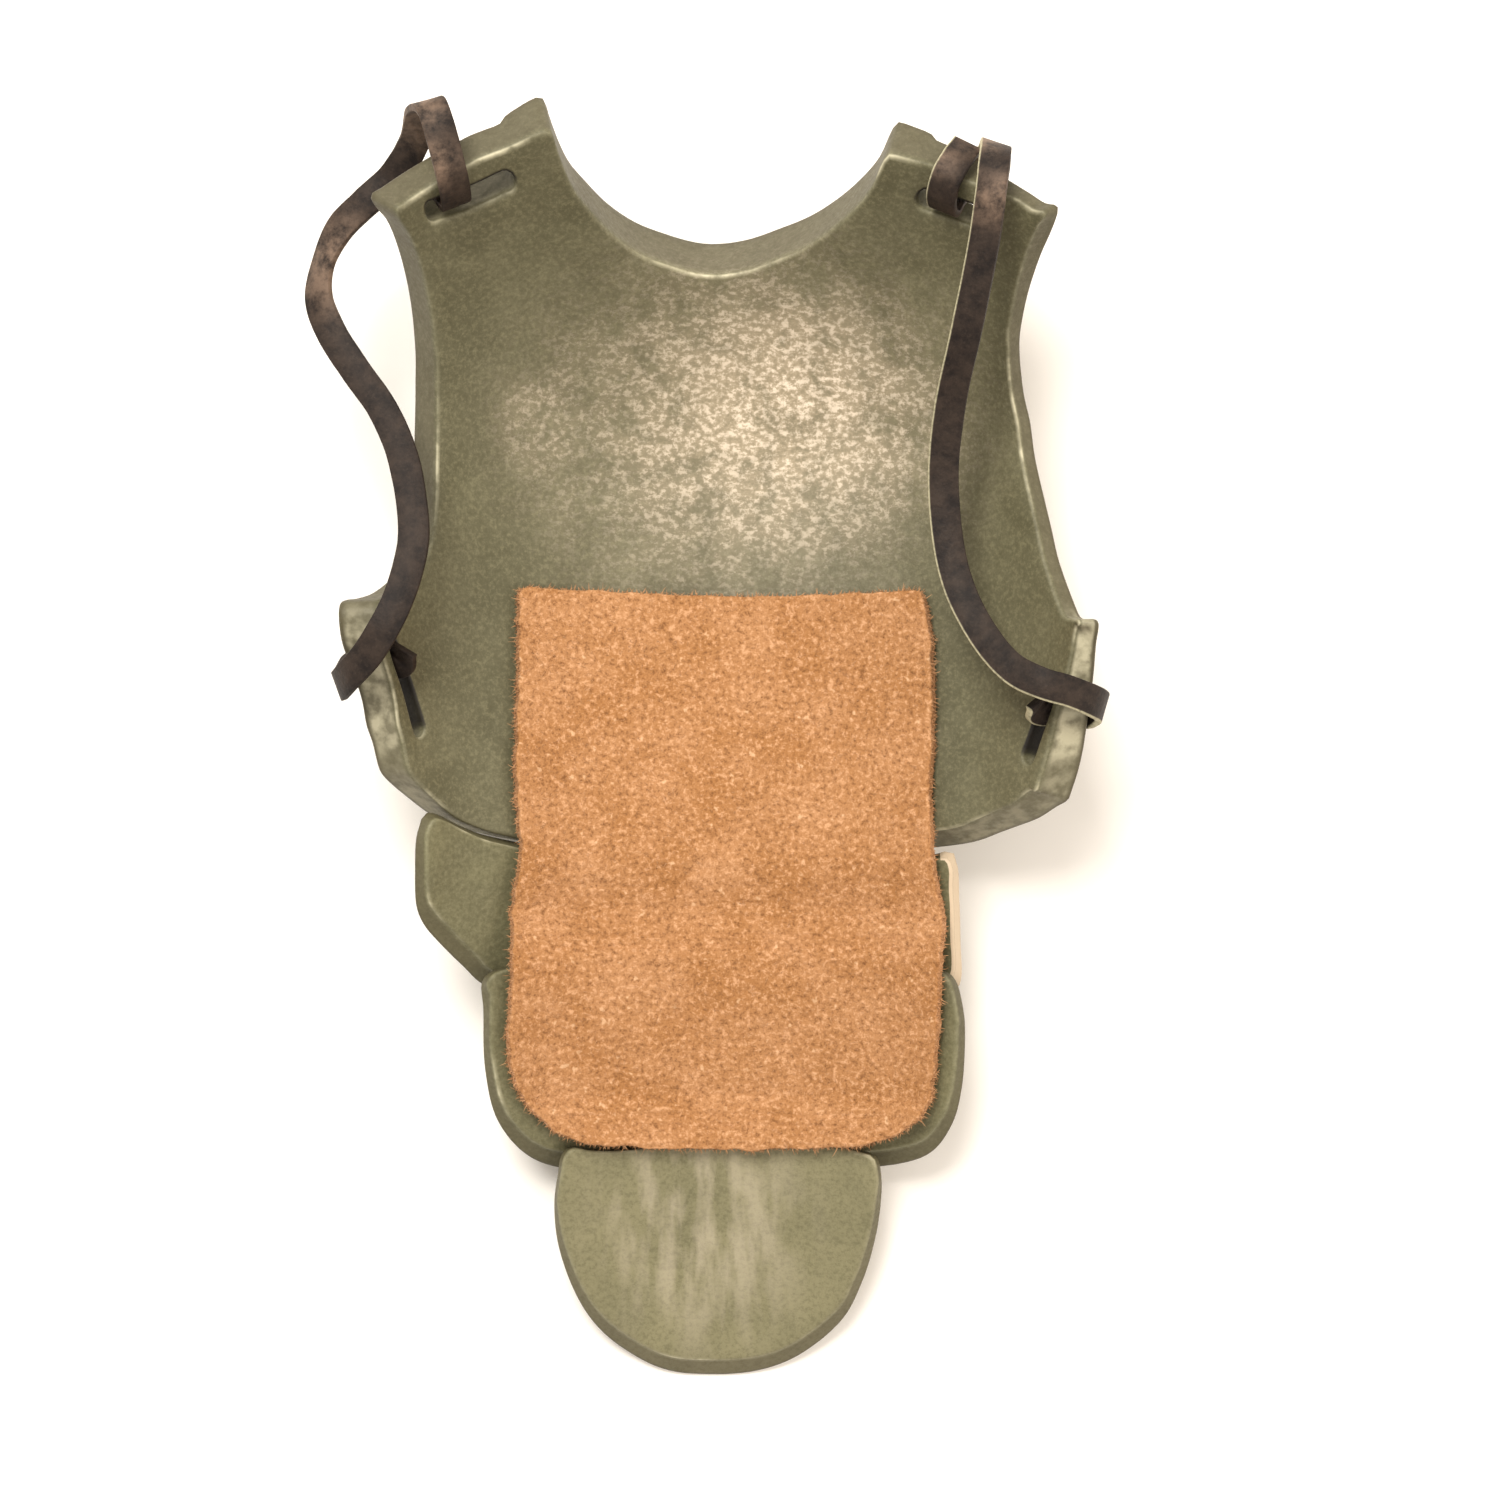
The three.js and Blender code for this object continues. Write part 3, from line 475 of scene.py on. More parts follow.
slot_lines = [
    [(-57.2, 0.372, 0.75), (-46.4, 0.404, 0.99), (-38.6, 0.425, 0.97)],
    [(37.8, 0.408, 1.06), (48.4, 0.382, 1), (54, 0.37, 1.16)],
    [(-77, -0.243, 0), (-70, -0.298, 0), (-64.5, -0.362, 0)],
    [(76, -0.303, 0), (71.6, -0.352, 0), (67.3, -0.4, 0)],
]
slot_lines = [
    [(turn, share - below * SHOULDER_BAR / PLATE_LENGTH) for turn, share, below in line]
    for line in slot_lines
]
neck = chest_rim[(np.abs(chest_rim[:, 0]) < NECK_TURN * PATTERN_RADIUS) & (chest_rim[:, 1] > NECK_START)]


def smooth(value, low, high):
    t = np.clip((value - low) / (high - low), 0, 1)
    return t * t * (3 - 2 * t)


def turn_of(pattern):
    return np.degrees(pattern[:, 0] / PATTERN_RADIUS)


def chest_face(pattern):
    return -RIGHT_THINNING * smooth(turn_of(pattern), 60, 95)


def chest_wall(pattern):
    thin = smooth(turn_of(pattern), 40, 62) * smooth(pattern[:, 1] / PLATE_LENGTH, -0.45, -0.2)
    near_edge = 1 - smooth(nearest(pattern, [neck]), NECK_ROLL_REACH - NECK_ROLL_STEP, NECK_ROLL_REACH)
    roll = np.maximum(0, 1 - (pattern[:, 0] / PATTERN_RADIUS / ROLL_FADE) ** 2) * near_edge
    return WALL - RIGHT_THINNING * thin + NECK_ROLL * roll


def chest_bevel(pattern, into):
    return PLATE_BEVEL * np.maximum(0, into[:, 1]) * smooth(turn_of(pattern), 15, 40)


def wing_wall_lightness(pattern):
    """The walls at the ends of the wings take the light edge paint most, the walls along the lower edge a
    little.
    """
    along = pattern[:, 1] / PLATE_LENGTH
    on_wing = smooth(np.abs(turn_of(pattern)), 66, 74) * smooth(-along, 0.18, 0.24)
    below = smooth(np.abs(turn_of(pattern)), 30, 50) * smooth(-along, 0.4, 0.44)
    return 0.03 + 0.6 * on_wing * smooth(along, -0.43, -0.38) + 0.22 * below


# Spots of light edge paint on the neck, arm-hole and wing edges: wear and painted highlights.
worn_and_highlight_spots = [
    (-0.6, 16.6, 5.5), (24.3, 6.4, 4), (25.4, 1, 3), (-22.7, 1, 4), (-23.2, 20.6, 1.5), (-17.6, 24.4, 3),
    (12.7, 24.4, 2.4), (24.4, 20.8, 1.6), (29, -13, 1), (25.5, -26.5, 1), (-25, -18, 4), (-22.8, -26.2, 1.5),
    (19, -29, 3),
]
chest = cast_sheet("chest_casting", chest_rim, chest_face, chest_wall,
                   [slot_outline(line, SLOT_HEIGHT, 0.4 * MM) for line in slot_lines],
                   bevel=chest_bevel, spots=worn_and_highlight_spots, wall_lightness=wing_wall_lightness, grit=0.03)
# The silver dabs over the hollow carry a broad painted highlight as well as the silver paint.
chest.data.materials.append(painted_casting("dry_brushed_casting", PLATE_TONE, dabbed=[
    ((2, 4), (25, 20), 0.35), ((5, 5), (17, 14), 0.65), ((6, 6), (10, 10), 1.0), ((-15, 5), (5, 6), 0.2)]))
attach(chest, "root")
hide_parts("chest_plate")

# Skirt lames. Three thin resin castings, painted as the plate is, glued to the suede that joins them.
# Each lies on the inner side of the one above. The upper one has snapped at its right end, and shows its
# cream resin there.
LAME_WALL = 1.5 * MM
LAYER_GAP = 0.3 * MM
LAME_DROP = 0.5 * MM
LAME_BEVEL = 1.4 * MM
LAME_FLASH = 0.5 * MM
LAMES_TOP = -0.568 * PLATE_LENGTH
LAMES_END = -1.315 * PLATE_LENGTH
waist_floor = WALL - REST_FLAT + WAIST_RISE
LAME_FALL = (waist_floor - LAME_DROP + LAME_WALL + 2 * LAYER_GAP) / (LAMES_TOP - LAMES_END)


def upper_face(y):
    return LAME_FALL * (y - LAMES_TOP) - LAME_DROP


def middle_face(y):
    return upper_face(y) + LAME_WALL + LAYER_GAP


def lower_face(y):
    return middle_face(y) + LAME_WALL + LAYER_GAP


def lame_wall(pattern):
    return 0 * pattern[:, 0] + LAME_WALL


def lame_bevel(pattern, into):
    return LAME_BEVEL * np.maximum(0, into[:, 1])


def lame_flash(pattern, into):
    """Resin that crept past the mould's edge along a lame's top, and darkens the gap below the plate."""
    return LAME_FLASH * np.clip(-2 * into[:, 1] - 1, 0, 1)


upper_rim = [
    (-61.8, -0.515), (-61.2, -0.497), (-59.6, -0.488), (-56.5, -0.491), (-50.4, -0.507), (-45.5, -0.519),
    (-40, -0.528), (-20, -0.556), (0, -0.568), (20, -0.562), (38, -0.552), (43.2, -0.545),
    (44.3, -0.553), (44.3, -0.607), (43.9, -0.665), (43.4, -0.722), (42.4, -0.736),
    (38, -0.748), (20, -0.757), (0, -0.76), (-20, -0.757), (-36, -0.745), (-42.7, -0.729), (-46.9, -0.703),
    (-53.2, -0.665), (-57.2, -0.639), (-59.6, -0.613), (-61.1, -0.562),
]
middle_rim = [
    (-44.8, -0.724), (-43.5, -0.711), (-38, -0.702), (-20, -0.688), (0, -0.684), (20, -0.688), (38, -0.702),
    (43, -0.711), (44.5, -0.724), (45.6, -0.768), (45.5, -0.798), (44, -0.874), (41.4, -0.931),
    (36.9, -0.975),
    (30.7, -0.995), (15, -1.008), (0, -1.01), (-15, -1.008), (-27.8, -1.001), (-33.6, -0.98),
    (-39.6, -0.926), (-42.8, -0.849), (-44.1, -0.761),
]
lower_rim = [
    (-28.6, -1.003), (-28.2, -0.98), (-26.7, -0.967), (-22.7, -0.972), (-14.3, -0.971), (-8, -0.958),
    (0, -0.952), (12, -0.955), (20, -0.965), (24.7, -0.973), (27.6, -0.981), (28.3, -1.003),
    (28.3, -1.033), (26.7, -1.104), (23.9, -1.172), (20.2, -1.229), (12.3, -1.287), (6, -1.309),
    (-1.2, -1.315), (-8.7, -1.308), (-16.3, -1.272), (-22.4, -1.219), (-27.8, -1.12), (-29.1, -1.05),
]
# Spots of light edge paint on the lames' edges: wear and painted highlights.
lame_wear_and_highlight_spots = [
    (-23.6, -35.2, 1.2), (-19.7, -30.1, 3), (-18.6, -50.8, 2), (-2.6, -74.4, 3.2),
    (-8.4, -56.3, 2), (12.3, -56.7, 1.2),
]
plain_paint = painted_casting("painted_lame_casting", LAME_TONE)
broken_paint = painted_casting("painted_lame_casting_with_bare_break", LAME_TONE, raw_from=18.3 * MM)
streaky_paint = painted_casting("painted_lame_casting_with_dry_strokes", LAST_LAME_TONE,
                                streaked=[((-1.5, -63), (12, 15), 0.2)])
for name, rim, face, paint in (
    ("upper_lame", upper_rim, upper_face, broken_paint),
    ("middle_lame", middle_rim, middle_face, plain_paint),
    ("lower_lame", lower_rim, lower_face, streaky_paint),
):
    lame = cast_sheet(name + "_casting", even_line(rim, OUTLINE_STEP),
                      lambda p, f=face: f(p[:, 1]), lame_wall, bevel=lame_bevel,
                      flash=lame_flash if name == "upper_lame" else None,
                      spots=lame_wear_and_highlight_spots, unevenness=0.03, grit=0.02)
    lame.data.materials.append(paint)
    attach(lame, "root")
    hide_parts(name)

# Suede panel. One piece of tan split hide about 1 mm thick, napped side up, cut by hand with scissors.
# It is glued over the waist and the lames and acts as their hinge; its cut edges have frayed.
SUEDE_WALL = 1 * MM
SUEDE_EASE = 1.6 * MM
SCISSOR_WANDER = 0.11 * MM
FIBRE_WIDTH = 0.06 * MM
FIBRE_COUNT = 12000
EDGE_FIBRE_COUNT = 9000


def layer_under(y):
    """The inner face of the casting under the suede at each place along the part."""
    share = y / PLATE_LENGTH
    return np.select(
        [share > -0.56, share > -0.678, share > -0.953],
        [0 * y, upper_face(y), middle_face(y)],
        lower_face(y),
    )


def suede_face(y):
    """The suede's napped face: it bridges the steps between castings, as soft hide does."""
    reach = np.array([-1, -0.5, 0, 0.5, 1]) * SUEDE_EASE
    crest = [np.max([layer_under(y + a + b) for b in reach], axis=0) for a in reach]
    return np.mean(crest, axis=0) + LAYER_GAP + SUEDE_WALL


suede_rim = even_line([
    (-39.3, -0.165), (-38.6, -0.161), (-20, -0.165), (0, -0.169), (20, -0.168), (38.8, -0.165),
    (39.9, -0.169),
    (42.1, -0.29), (41.4, -0.459), (42.2, -0.571), (43.9, -0.656), (42.2, -0.802), (38, -0.914),
    (28.2, -0.957),
    (6.6, -0.969), (-15, -0.966), (-29.1, -0.947), (-38.9, -0.866), (-40.7, -0.686), (-38.8, -0.528),
    (-39.9, -0.436), (-39.5, -0.29),
], 0.35 * MM)
ragged = np.random.default_rng(7)
wander = np.convolve(ragged.normal(0, 1, len(suede_rim) + 2), np.ones(3) / 3, "valid")[:len(suede_rim)]
suede_rim = inset(suede_rim, wander * SCISSOR_WANDER)
suede = cast_sheet("suede_hide", suede_rim, lambda p: suede_face(p[:, 1]),
                   lambda p: 0 * p[:, 0] + SUEDE_WALL, rounding=0.2 * MM, step=0.35 * MM, unevenness=0.06,
                   grit=0.11)

material, tree, place = new_material("napped_split_suede")
# The nap lies in curls under half a millimetre wide: lit tips, shaded hollows and a few pale loose ends.
patches = add(tree, "TexNoise", inputs={
    "Vector": place, "Scale": per(5 * MM), "Detail": 4.0, "Roughness": 0.6})
curls = add(tree, "TexNoise", inputs={
    "Vector": place, "Scale": per(0.45 * MM), "Detail": 5.0, "Roughness": 0.75, "Distortion": 0.2})
ends = add(tree, "TexNoise", inputs={
    "Vector": place, "Scale": per(0.9 * MM), "Detail": 2.0, "Roughness": 0.4})
tone = add(tree, "MapRange", inputs={"Value": patches, 1: 0.35, 2: 0.65, 3: 0.0, 4: 1.0})
colour = add(tree, "Mix", {"data_type": "RGBA"}, {0: tone, 6: linear("#a37245"), 7: linear("#b28258")})
hollow = add(tree, "MapRange", inputs={"Value": curls, 1: 0.35, 2: 0.47, 3: 0.75, 4: 0.0})
colour = add(tree, "Mix", {"data_type": "RGBA"}, {0: hollow, 6: colour, 7: linear("#704828")})
tip = add(tree, "MapRange", inputs={"Value": curls, 1: 0.52, 2: 0.63, 3: 0.0, 4: 0.75})
colour = add(tree, "Mix", {"data_type": "RGBA"}, {0: tip, 6: colour, 7: linear("#d6a67e")})
loose = add(tree, "MapRange", inputs={"Value": ends, 1: 0.71, 2: 0.75, 3: 0.0, 4: 0.5})
colour = add(tree, "Mix", {"data_type": "RGBA"}, {0: loose, 6: colour, 7: linear("#dfb992")})
nap = add(tree, "Bump", inputs={"Strength": 0.9, "Distance": 0.15 * MM, "Height": curls})
shader = add(tree, "BsdfPrincipled", inputs={
    "Base Color": colour, "Roughness": 0.95, "Normal": nap, "Sheen Weight": 0.08, "Sheen Roughness": 0.5,
    "Specular IOR Level": 0.2})
add(tree, "OutputMaterial", inputs={"Surface": shader})
suede.data.materials.append(material)
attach(suede, "root")
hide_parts("suede_panel")


def fibres(name, roots, ways, lengths, width, curl, seed):
    """Fine curved hairs, each a narrow tapering blade of three joints."""
    draw = np.random.default_rng(seed)
    points, faces = [], []
    for root, way, length in zip(roots, ways, lengths):
        bend = draw.normal(0, curl, 3).clip(-1, 1)
        side = np.cross(way, draw.normal(0, 1, 3))
        side /= np.linalg.norm(side) + 1e-12
        base = len(points)
        for k, thin in ((0, 1.0), (0.4, 0.8), (0.75, 0.5), (1, 0.15)):
            middle = root + way * length * k + bend * length * k * k
            points.append(middle - side * width * thin / 2)
            points.append(middle + side * width * thin / 2)
        for k in range(3):
            a = base + 2 * k
            faces.append((a, a + 1, a + 3, a + 2))
    return mesh_piece(name, points, faces)


def on_sheet(pattern, inward):
    """Points of the flat pattern, bent on the body form."""
    return body_point(pattern[:, 0] / PATTERN_RADIUS, pattern[:, 1], inward)


draw = np.random.default_rng(11)
scatter = draw.uniform(suede_rim.min(0), suede_rim.max(0), (3 * FIBRE_COUNT, 2))
scatter = scatter[inside(scatter, inset(suede_rim, 0.2 * MM))][:FIBRE_COUNT]
roots = on_sheet(scatter, suede_face(scatter[:, 1]) - 0.02 * MM)
above = on_sheet(scatter, suede_face(scatter[:, 1]) + MM)
up = above - roots
up /= np.linalg.norm(up, axis=1, keepdims=True)
lean = draw.normal(0, 1, up.shape)
ways = up * 0.35 + lean * 0.55
ways /= np.linalg.norm(ways, axis=1, keepdims=True)
ways = np.where((ways * up).sum(1, keepdims=True) < 0.05, ways + up * 0.4, ways)
nap_hairs = fibres("suede_nap", roots, ways, draw.uniform(0.12, 0.35, len(roots)) * MM, FIBRE_WIDTH, 0.6, 3)

pick = draw.integers(0, len(suede_rim), EDGE_FIBRE_COUNT)
outward = -(inset(suede_rim, 1) - suede_rim)[pick]
depth = draw.uniform(0.05, 0.95, EDGE_FIBRE_COUNT) * SUEDE_WALL
roots = on_sheet(suede_rim[pick] + outward * -0.03 * MM, suede_face(suede_rim[pick][:, 1]) - depth)
ends = on_sheet(suede_rim[pick] + outward * MM, suede_face(suede_rim[pick][:, 1]) - depth)
ways = ends - roots
ways /= np.linalg.norm(ways, axis=1, keepdims=True)
ways += draw.normal(0, 0.6, ways.shape).clip(-1, 1)
lengths = draw.gamma(2.2, 0.055, EDGE_FIBRE_COUNT).clip(0.04, 0.26) * MM
frayed = fibres("suede_fray", roots, ways, lengths, 1.3 * FIBRE_WIDTH, 0.8, 5)
material, tree, place = new_material("loose_suede_fibre")
# Single fibres take the hide's own tan, some of them paler at the tip.
stray = add(tree, "TexNoise", inputs={"Vector": place, "Scale": per(0.6 * MM), "Detail": 2.0})
colour = add(tree, "Mix", {"data_type": "RGBA"}, {0: stray, 6: linear("#8c6039"), 7: linear("#cb9f77")})
shader = add(tree, "BsdfPrincipled", inputs={
    "Base Color": colour, "Roughness": 0.9, "Specular IOR Level": 0.2})
add(tree, "OutputMaterial", inputs={"Surface": shader})
for hair in (nap_hairs, frayed):
    hair.data.materials.append(material)
    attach(hair, "root")

# Straps. Two strips of thin dark-dyed leather about 2.5 mm wide, cut with a knife and threaded through
# the slots. The left one is dyed through; the right one shows its raw pale edge on one side.
STRAP_WIDTH = 2.5 * MM
STRAP_WALL = 0.6 * MM
STRAP_CLEARANCE = 0.6 * MM
STRAP_ROUND = 0.12 * MM
strap_lift = STRAP_CLEARANCE + STRAP_WALL / 2
BEHIND = -WALL - 1.3 * strap_lift
IN_SLOT = -WALL / 2
IN_FRONT = strap_lift


def by_plate(turn, share, inward, across):
    """A stop on a strap's route beside the plate, with the way its width lies."""
    return (*body_point(math.radians(turn), share * PLATE_LENGTH, inward), *across)


def free(x, y, rise, across):
    """A stop on a strap's route in the open, in shares of the plate's half width, length and depth."""
    along = y * PLATE_LENGTH
    return (x * HALF_WIDTH, along, float(floor_height(along)) + rise * SIDE_DEPTH, *across)


left_route = [
    by_plate(-50.5, 0.35, BEHIND, (0.87, 0.4, -0.28)),
    by_plate(-51, 0.3585, IN_SLOT, (0.87, 0.4, -0.28)),
    by_plate(-51, 0.3595, 0.2 * IN_FRONT, (0.87, 0.4, -0.28)),
    by_plate(-51.5, 0.374, IN_FRONT, (0.87, 0.42, -0.25)),
    by_plate(-52.5, 0.41, IN_FRONT, (0.9, 0.4, -0.2)),
    free(-0.826, 0.474, 0.13, (0.95, 0.3, 0)),
    free(-0.868, 0.483, -0.1, (0.95, 0.2, 0)),
    free(-0.909, 0.453, -0.24, (0.9, -0.1, 0)),
    free(-0.982, 0.412, -0.2, (0.8, -0.5, 0)),
    free(-1.072, 0.376, -0.08, (0.7, -0.7, 0.1)),
    free(-1.148, 0.343, 0.009, (0.72, -0.6, 0.3)),
    free(-1.2, 0.297, 0.13, (0.7, -0.15, 0.65)),
    free(-1.215, 0.248, 0.269, (0.85, 0.15, 0.45)),
    free(-1.178, 0.2, 0.408, (0.88, 0.4, 0.15)),
    free(-1.096, 0.141, 0.576, (0.84, 0.53, 0.05)),
    free(-1.011, 0.086, 0.729, (0.84, 0.53, 0)),
    free(-0.948, 0.024, 0.852, (0.93, 0.36, 0)),
    free(-0.911, -0.045, 0.951, (0.99, 0.05, 0.05)),
    free(-0.9, -0.1, 1, (0.99, -0.05, 0.05)),
    free(-0.915, -0.145, 1.03, (0.95, -0.25, 0)),
    free(-0.945, -0.19, 1.05, (0.88, -0.45, 0)),
    free(-0.985, -0.228, 1.05, (0.78, -0.6, 0)),
    free(-1.035, -0.262, 0.995, (0.62, -0.77, 0.05)),
    free(-1.097, -0.29, 0.9, (0.4, -0.9, 0.1)),
    free(-1.132, -0.302, 0.76, (0.32, -0.92, -0.1)),
    free(-1.127, -0.293, 0.66, (0.3, -0.85, -0.35)),
    by_plate(-73.4, -0.27, BEHIND, (0.26, -0.87, -0.42)),
    by_plate(-73.4, -0.27, IN_SLOT, (0.26, -0.87, -0.42)),
    by_plate(-73.4, -0.27, 0.2 * IN_FRONT, (0.26, -0.87, -0.42)),
    by_plate(-76.6, -0.252, IN_FRONT, (0.26, -0.87, -0.42)),
]
right_route = [
    by_plate(76.2, -0.322, 0.6 * IN_FRONT, (0.3, 0.85, 0.42)),
    by_plate(73, -0.336, -0.1 * IN_FRONT, (0.3, 0.85, 0.42)),
    by_plate(73, -0.336, 1.2 * IN_SLOT, (0.3, 0.85, 0.42)),
    by_plate(73, -0.336, BEHIND, (0.3, 0.85, 0.42)),
    free(1.142, -0.333, 0.77, (0.25, 0.93, 0.2)),
    free(1.105, -0.324, 0.92, (0.2, 0.97, 0.1)),
    free(1.03, -0.311, 0.985, (0.17, 0.98, 0.05)),
    free(0.955, -0.301, 1, (0.2, 0.97, 0)),
    free(0.865, -0.278, 0.92, (0.45, 0.88, -0.1)),
    free(0.767, -0.214, 0.79, (0.78, 0.62, 0)),
    free(0.704, -0.138, 0.726, (0.94, 0.3, 0.1)),
    free(0.674, -0.017, 0.743, (0.99, 0.05, 0.12)),
    free(0.689, 0.083, 0.819, (0.98, -0.12, 0.15)),
    free(0.733, 0.19, 0.887, (0.96, -0.2, 0.15)),
    free(0.777, 0.303, 0.75, (0.93, -0.15, 0.33)),
    free(0.793, 0.365, 0.6, (0.9, -0.2, 0.4)),
    free(0.806, 0.41, 0.36, (0.9, -0.3, 0.35)),
    free(0.815, 0.436, 0.07, (0.92, -0.35, 0.2)),
    free(0.812, 0.436, -0.18, (0.92, -0.38, 0.1)),
    free(0.778, 0.424, -0.27, (0.9, -0.4, 0.15)),
    by_plate(42.5, 0.35, BEHIND, (0.87, -0.4, 0.28)),
    by_plate(42.5, 0.3565, IN_SLOT, (0.87, -0.4, 0.28)),
    by_plate(42.3, 0.3575, 0.2 * IN_FRONT, (0.87, -0.4, 0.28)),
    by_plate(42, 0.373, IN_FRONT, (0.87, -0.4, 0.28)),
    by_plate(42.6, 0.3965, 0.8 * IN_FRONT, (0.9, -0.4, 0.2)),
    by_plate(43.6, 0.4055, -0.2 * WALL, (0.93, -0.35, 0.1)),
    by_plate(44.4, 0.405, -0.8 * WALL, (0.93, -0.35, 0.1)),
]

half_width, half_wall = STRAP_WIDTH / 2, STRAP_WALL / 2
strap_section = []
for sx, sy, start in ((1, 1, 0), (-1, 1, 90), (-1, -1, 180), (1, -1, 270)):
    for angle in np.radians([start + 10, start + 45, start + 80]):
        strap_section.append((sx * (half_width - STRAP_ROUND) + STRAP_ROUND * math.cos(angle),
                              sy * (half_wall - STRAP_ROUND) + STRAP_ROUND * math.sin(angle)))
strap_section = np.array(strap_section)


def cut_strap(name, route, seed, worn_at):
    """A leather strip swept along its route; worn_at lists round worn spots as x, y and reach in mm."""
    route = np.array(route)
    middle = curve_through(route[:, :3], 14, False)
    across = curve_through(route[:, 3:], 14, False)
    n = min(len(middle), len(across))
    middle, across = middle[:n], across[:n]
    along = np.gradient(middle, axis=0)
    along /= np.linalg.norm(along, axis=1, keepdims=True)
    across = across - along * (across * along).sum(1, keepdims=True)
    across /= np.linalg.norm(across, axis=1, keepdims=True)
    up = np.cross(along, across)
    draw = np.random.default_rng(seed)
    wobble = np.convolve(draw.normal(0, 1, n + 8), np.ones(9) / 9, "valid")[:n] * 0.03 * MM
    u, v = strap_section[:, 0], strap_section[:, 1]
    width = u[None] + np.sign(u)[None] * wobble[:, None]
    points = middle[:, None] + across[:, None] * width[..., None] + up[:, None] * v[None, :, None]
    m = len(strap_section)
    faces = [(m * i + k, m * i + (k + 1) % m, m * (i + 1) + (k + 1) % m, m * (i + 1) + k)
             for i in range(n - 1) for k in range(m)]
    faces.append(tuple(range(m))[::-1])
    faces.append(tuple(m * (n - 1) + k for k in range(m)))
    side = np.tile(u / half_width, n)
    points = points.reshape(-1, 3)
    return mesh_piece(name, points, faces, {"side": side, "worn": wear_and_highlight_spots(points, worn_at)})


def dyed_leather(name, raw_side):
    """Thin dyed leather with a fine grain; folds have worn grey and one cut edge may be undyed."""
    material, tree, place = new_material(name)
    cloud = add(tree, "TexNoise", inputs={
        "Vector": place, "Scale": per(1.6 * MM), "Detail": 6.0, "Roughness": 0.7})
    pores = add(tree, "TexNoise", inputs={
        "Vector": place, "Scale": per(0.3 * MM), "Detail": 4.0, "Roughness": 0.6})
    worn = add(tree, "Attribute", {"attribute_name": "worn"})
    grey = add(tree, "MapRange", inputs={"Value": cloud, 1: 0.36, 2: 0.62, 3: 0.1, 4: 1.0})
    grey = add(tree, "Math", {"operation": "MULTIPLY"}, {0: grey, 1: worn.outputs["Fac"]})
    colour = add(tree, "Mix", {"data_type": "RGBA"}, {0: grey, 6: linear("#161110"), 7: linear("#816c5c")})
    fleck = add(tree, "MapRange", inputs={"Value": pores, 1: 0.55, 2: 0.75, 3: 0.0, 4: 0.2})
    colour = add(tree, "Mix", {"data_type": "RGBA"}, {0: fleck, 6: colour, 7: linear("#54483f")})
    side = add(tree, "Attribute", {"attribute_name": "side"})
    signed = add(tree, "Math", {"operation": "MULTIPLY"}, {0: side.outputs["Fac"], 1: raw_side})
    cut = add(tree, "MapRange", inputs={"Value": signed, 1: 0.86, 2: 0.95, 3: 0.0, 4: 1.0})
    ragged = add(tree, "MapRange", inputs={"Value": pores, 1: 0.3, 2: 0.55, 3: 0.5, 4: 1.0})
    cut = add(tree, "Math", {"operation": "MULTIPLY"}, {0: cut, 1: ragged})
    colour = add(tree, "Mix", {"data_type": "RGBA"}, {0: cut, 6: colour, 7: linear("#b5af92")})
    skin = add(tree, "Bump", inputs={"Strength": 0.8, "Distance": 0.1 * MM, "Height": cloud})
    grain = add(tree, "Bump", inputs={
        "Strength": 0.6, "Distance": 0.06 * MM, "Height": pores, "Normal": skin})
    shader = add(tree, "BsdfPrincipled", inputs={
        "Base Color": colour, "Roughness": 0.6, "Normal": grain, "Specular IOR Level": 0.2})
    add(tree, "OutputMaterial", inputs={"Surface": shader})
    return material


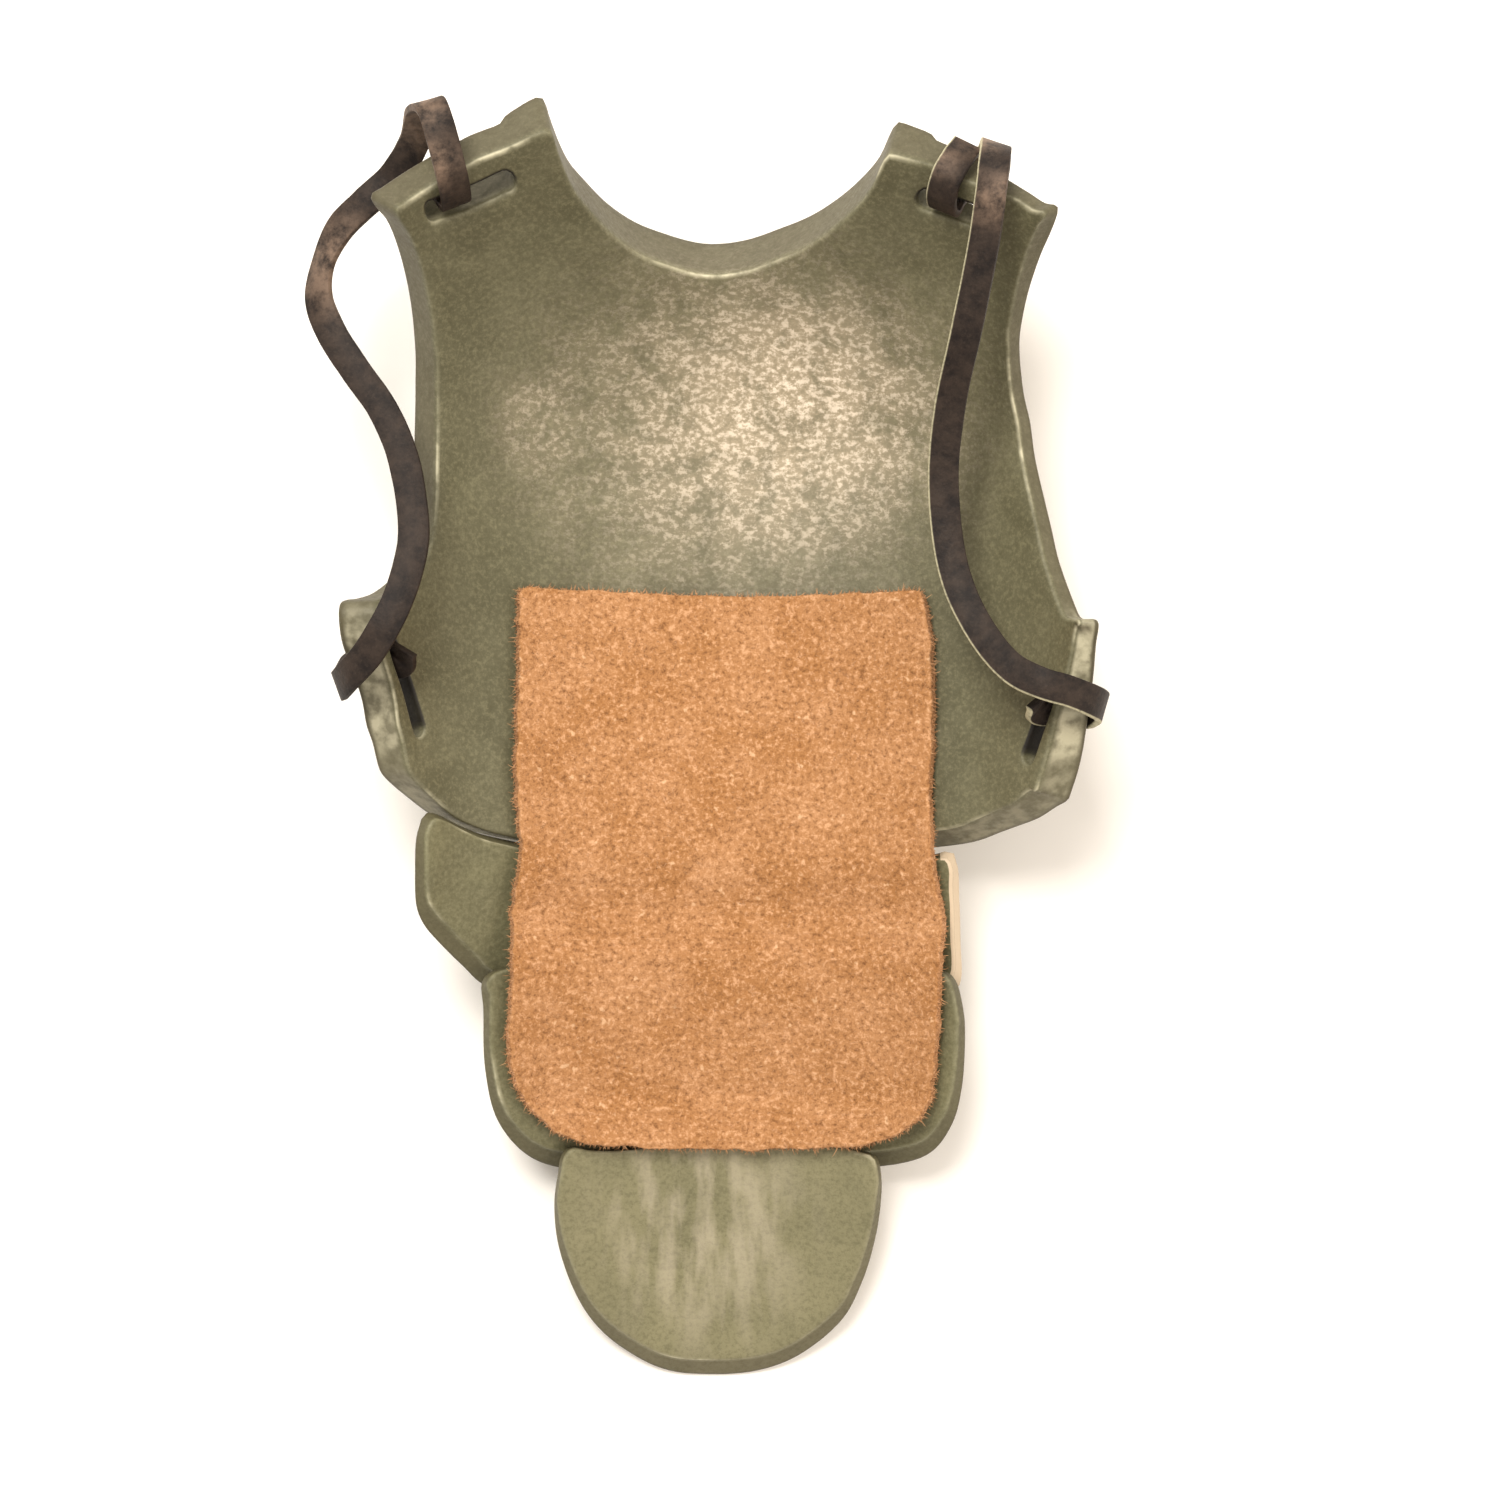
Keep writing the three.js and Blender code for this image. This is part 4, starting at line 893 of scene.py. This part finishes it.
for name, route, seed, raw_side, worn_at in (
    ("left_strap", left_route, 21, 0.0, [(-23.5, 27.5, 2.5), (-22, 23, 2), (-31, 17, 4)]),
    ("right_strap", right_route, 22, -1.0, [(21.5, 20.5, 2.2), (21, 25.5, 1.5), (17, 24.5, 1.5)]),
):
    strap = cut_strap(name + "_leather", route, seed, worn_at)
    strap.data.materials.append(dyed_leather(name + "_dyed_leather", raw_side))
    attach(strap, "root")
    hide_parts(name)

# Table, light and camera. A plain white card under wide soft light, seen from straight above the hollow.
bpy.ops.mesh.primitive_plane_add(size=3)
table = bpy.context.object
table.name = "white_card"
material, tree, place = new_material("matt_white_card")
shader = add(tree, "BsdfPrincipled", inputs={"Base Color": linear("#fffdfa"), "Roughness": 0.9})
add(tree, "OutputMaterial", inputs={"Surface": shader})
table.data.materials.append(material)

# The camera stands 270 mm over the table; this distance and view angle give the photo's perspective.
CAMERA_AT = (3 * MM, -23.2 * MM, 270 * MM)
SENSOR = 36
FRAME_PIXELS = 1512
FOCAL_PIXELS = 3141
scene = bpy.context.scene
scene.view_settings.view_transform = "Standard"
world = bpy.data.worlds.new("soft_room")
world.use_nodes = True
world.node_tree.nodes["Background"].inputs["Color"].default_value = linear("#fff6ec")
world.node_tree.nodes["Background"].inputs["Strength"].default_value = 0.75
scene.world = world


def soft_light(name, place, size, power, colour):
    lamp = bpy.data.lights.new(name, "AREA")
    lamp.size = size
    lamp.energy = power
    lamp.color = linear(colour)[:3]
    holder = bpy.data.objects.new(name, lamp)
    holder.location = place
    aim = Vector((0, -0.02, 0)) - Vector(place)
    holder.rotation_euler = aim.to_track_quat("-Z", "Y").to_euler()
    scene.collection.objects.link(holder)


soft_light("overhead_softbox", (-0.12, 0.25, 0.45), 0.25, 3.2, "#fffaf2")
soft_light("side_fill", (0.35, -0.1, 0.3), 0.3, 0.9, "#fff1e0")

lens = bpy.data.cameras.new("camera_above")
lens.sensor_width = SENSOR
lens.lens = SENSOR * FOCAL_PIXELS / FRAME_PIXELS
lens.clip_start = 0.01
camera = bpy.data.objects.new("camera_above", lens)
camera.location = CAMERA_AT
camera.rotation_euler = (0, 0, 0)
scene.collection.objects.link(camera)
scene.camera = camera
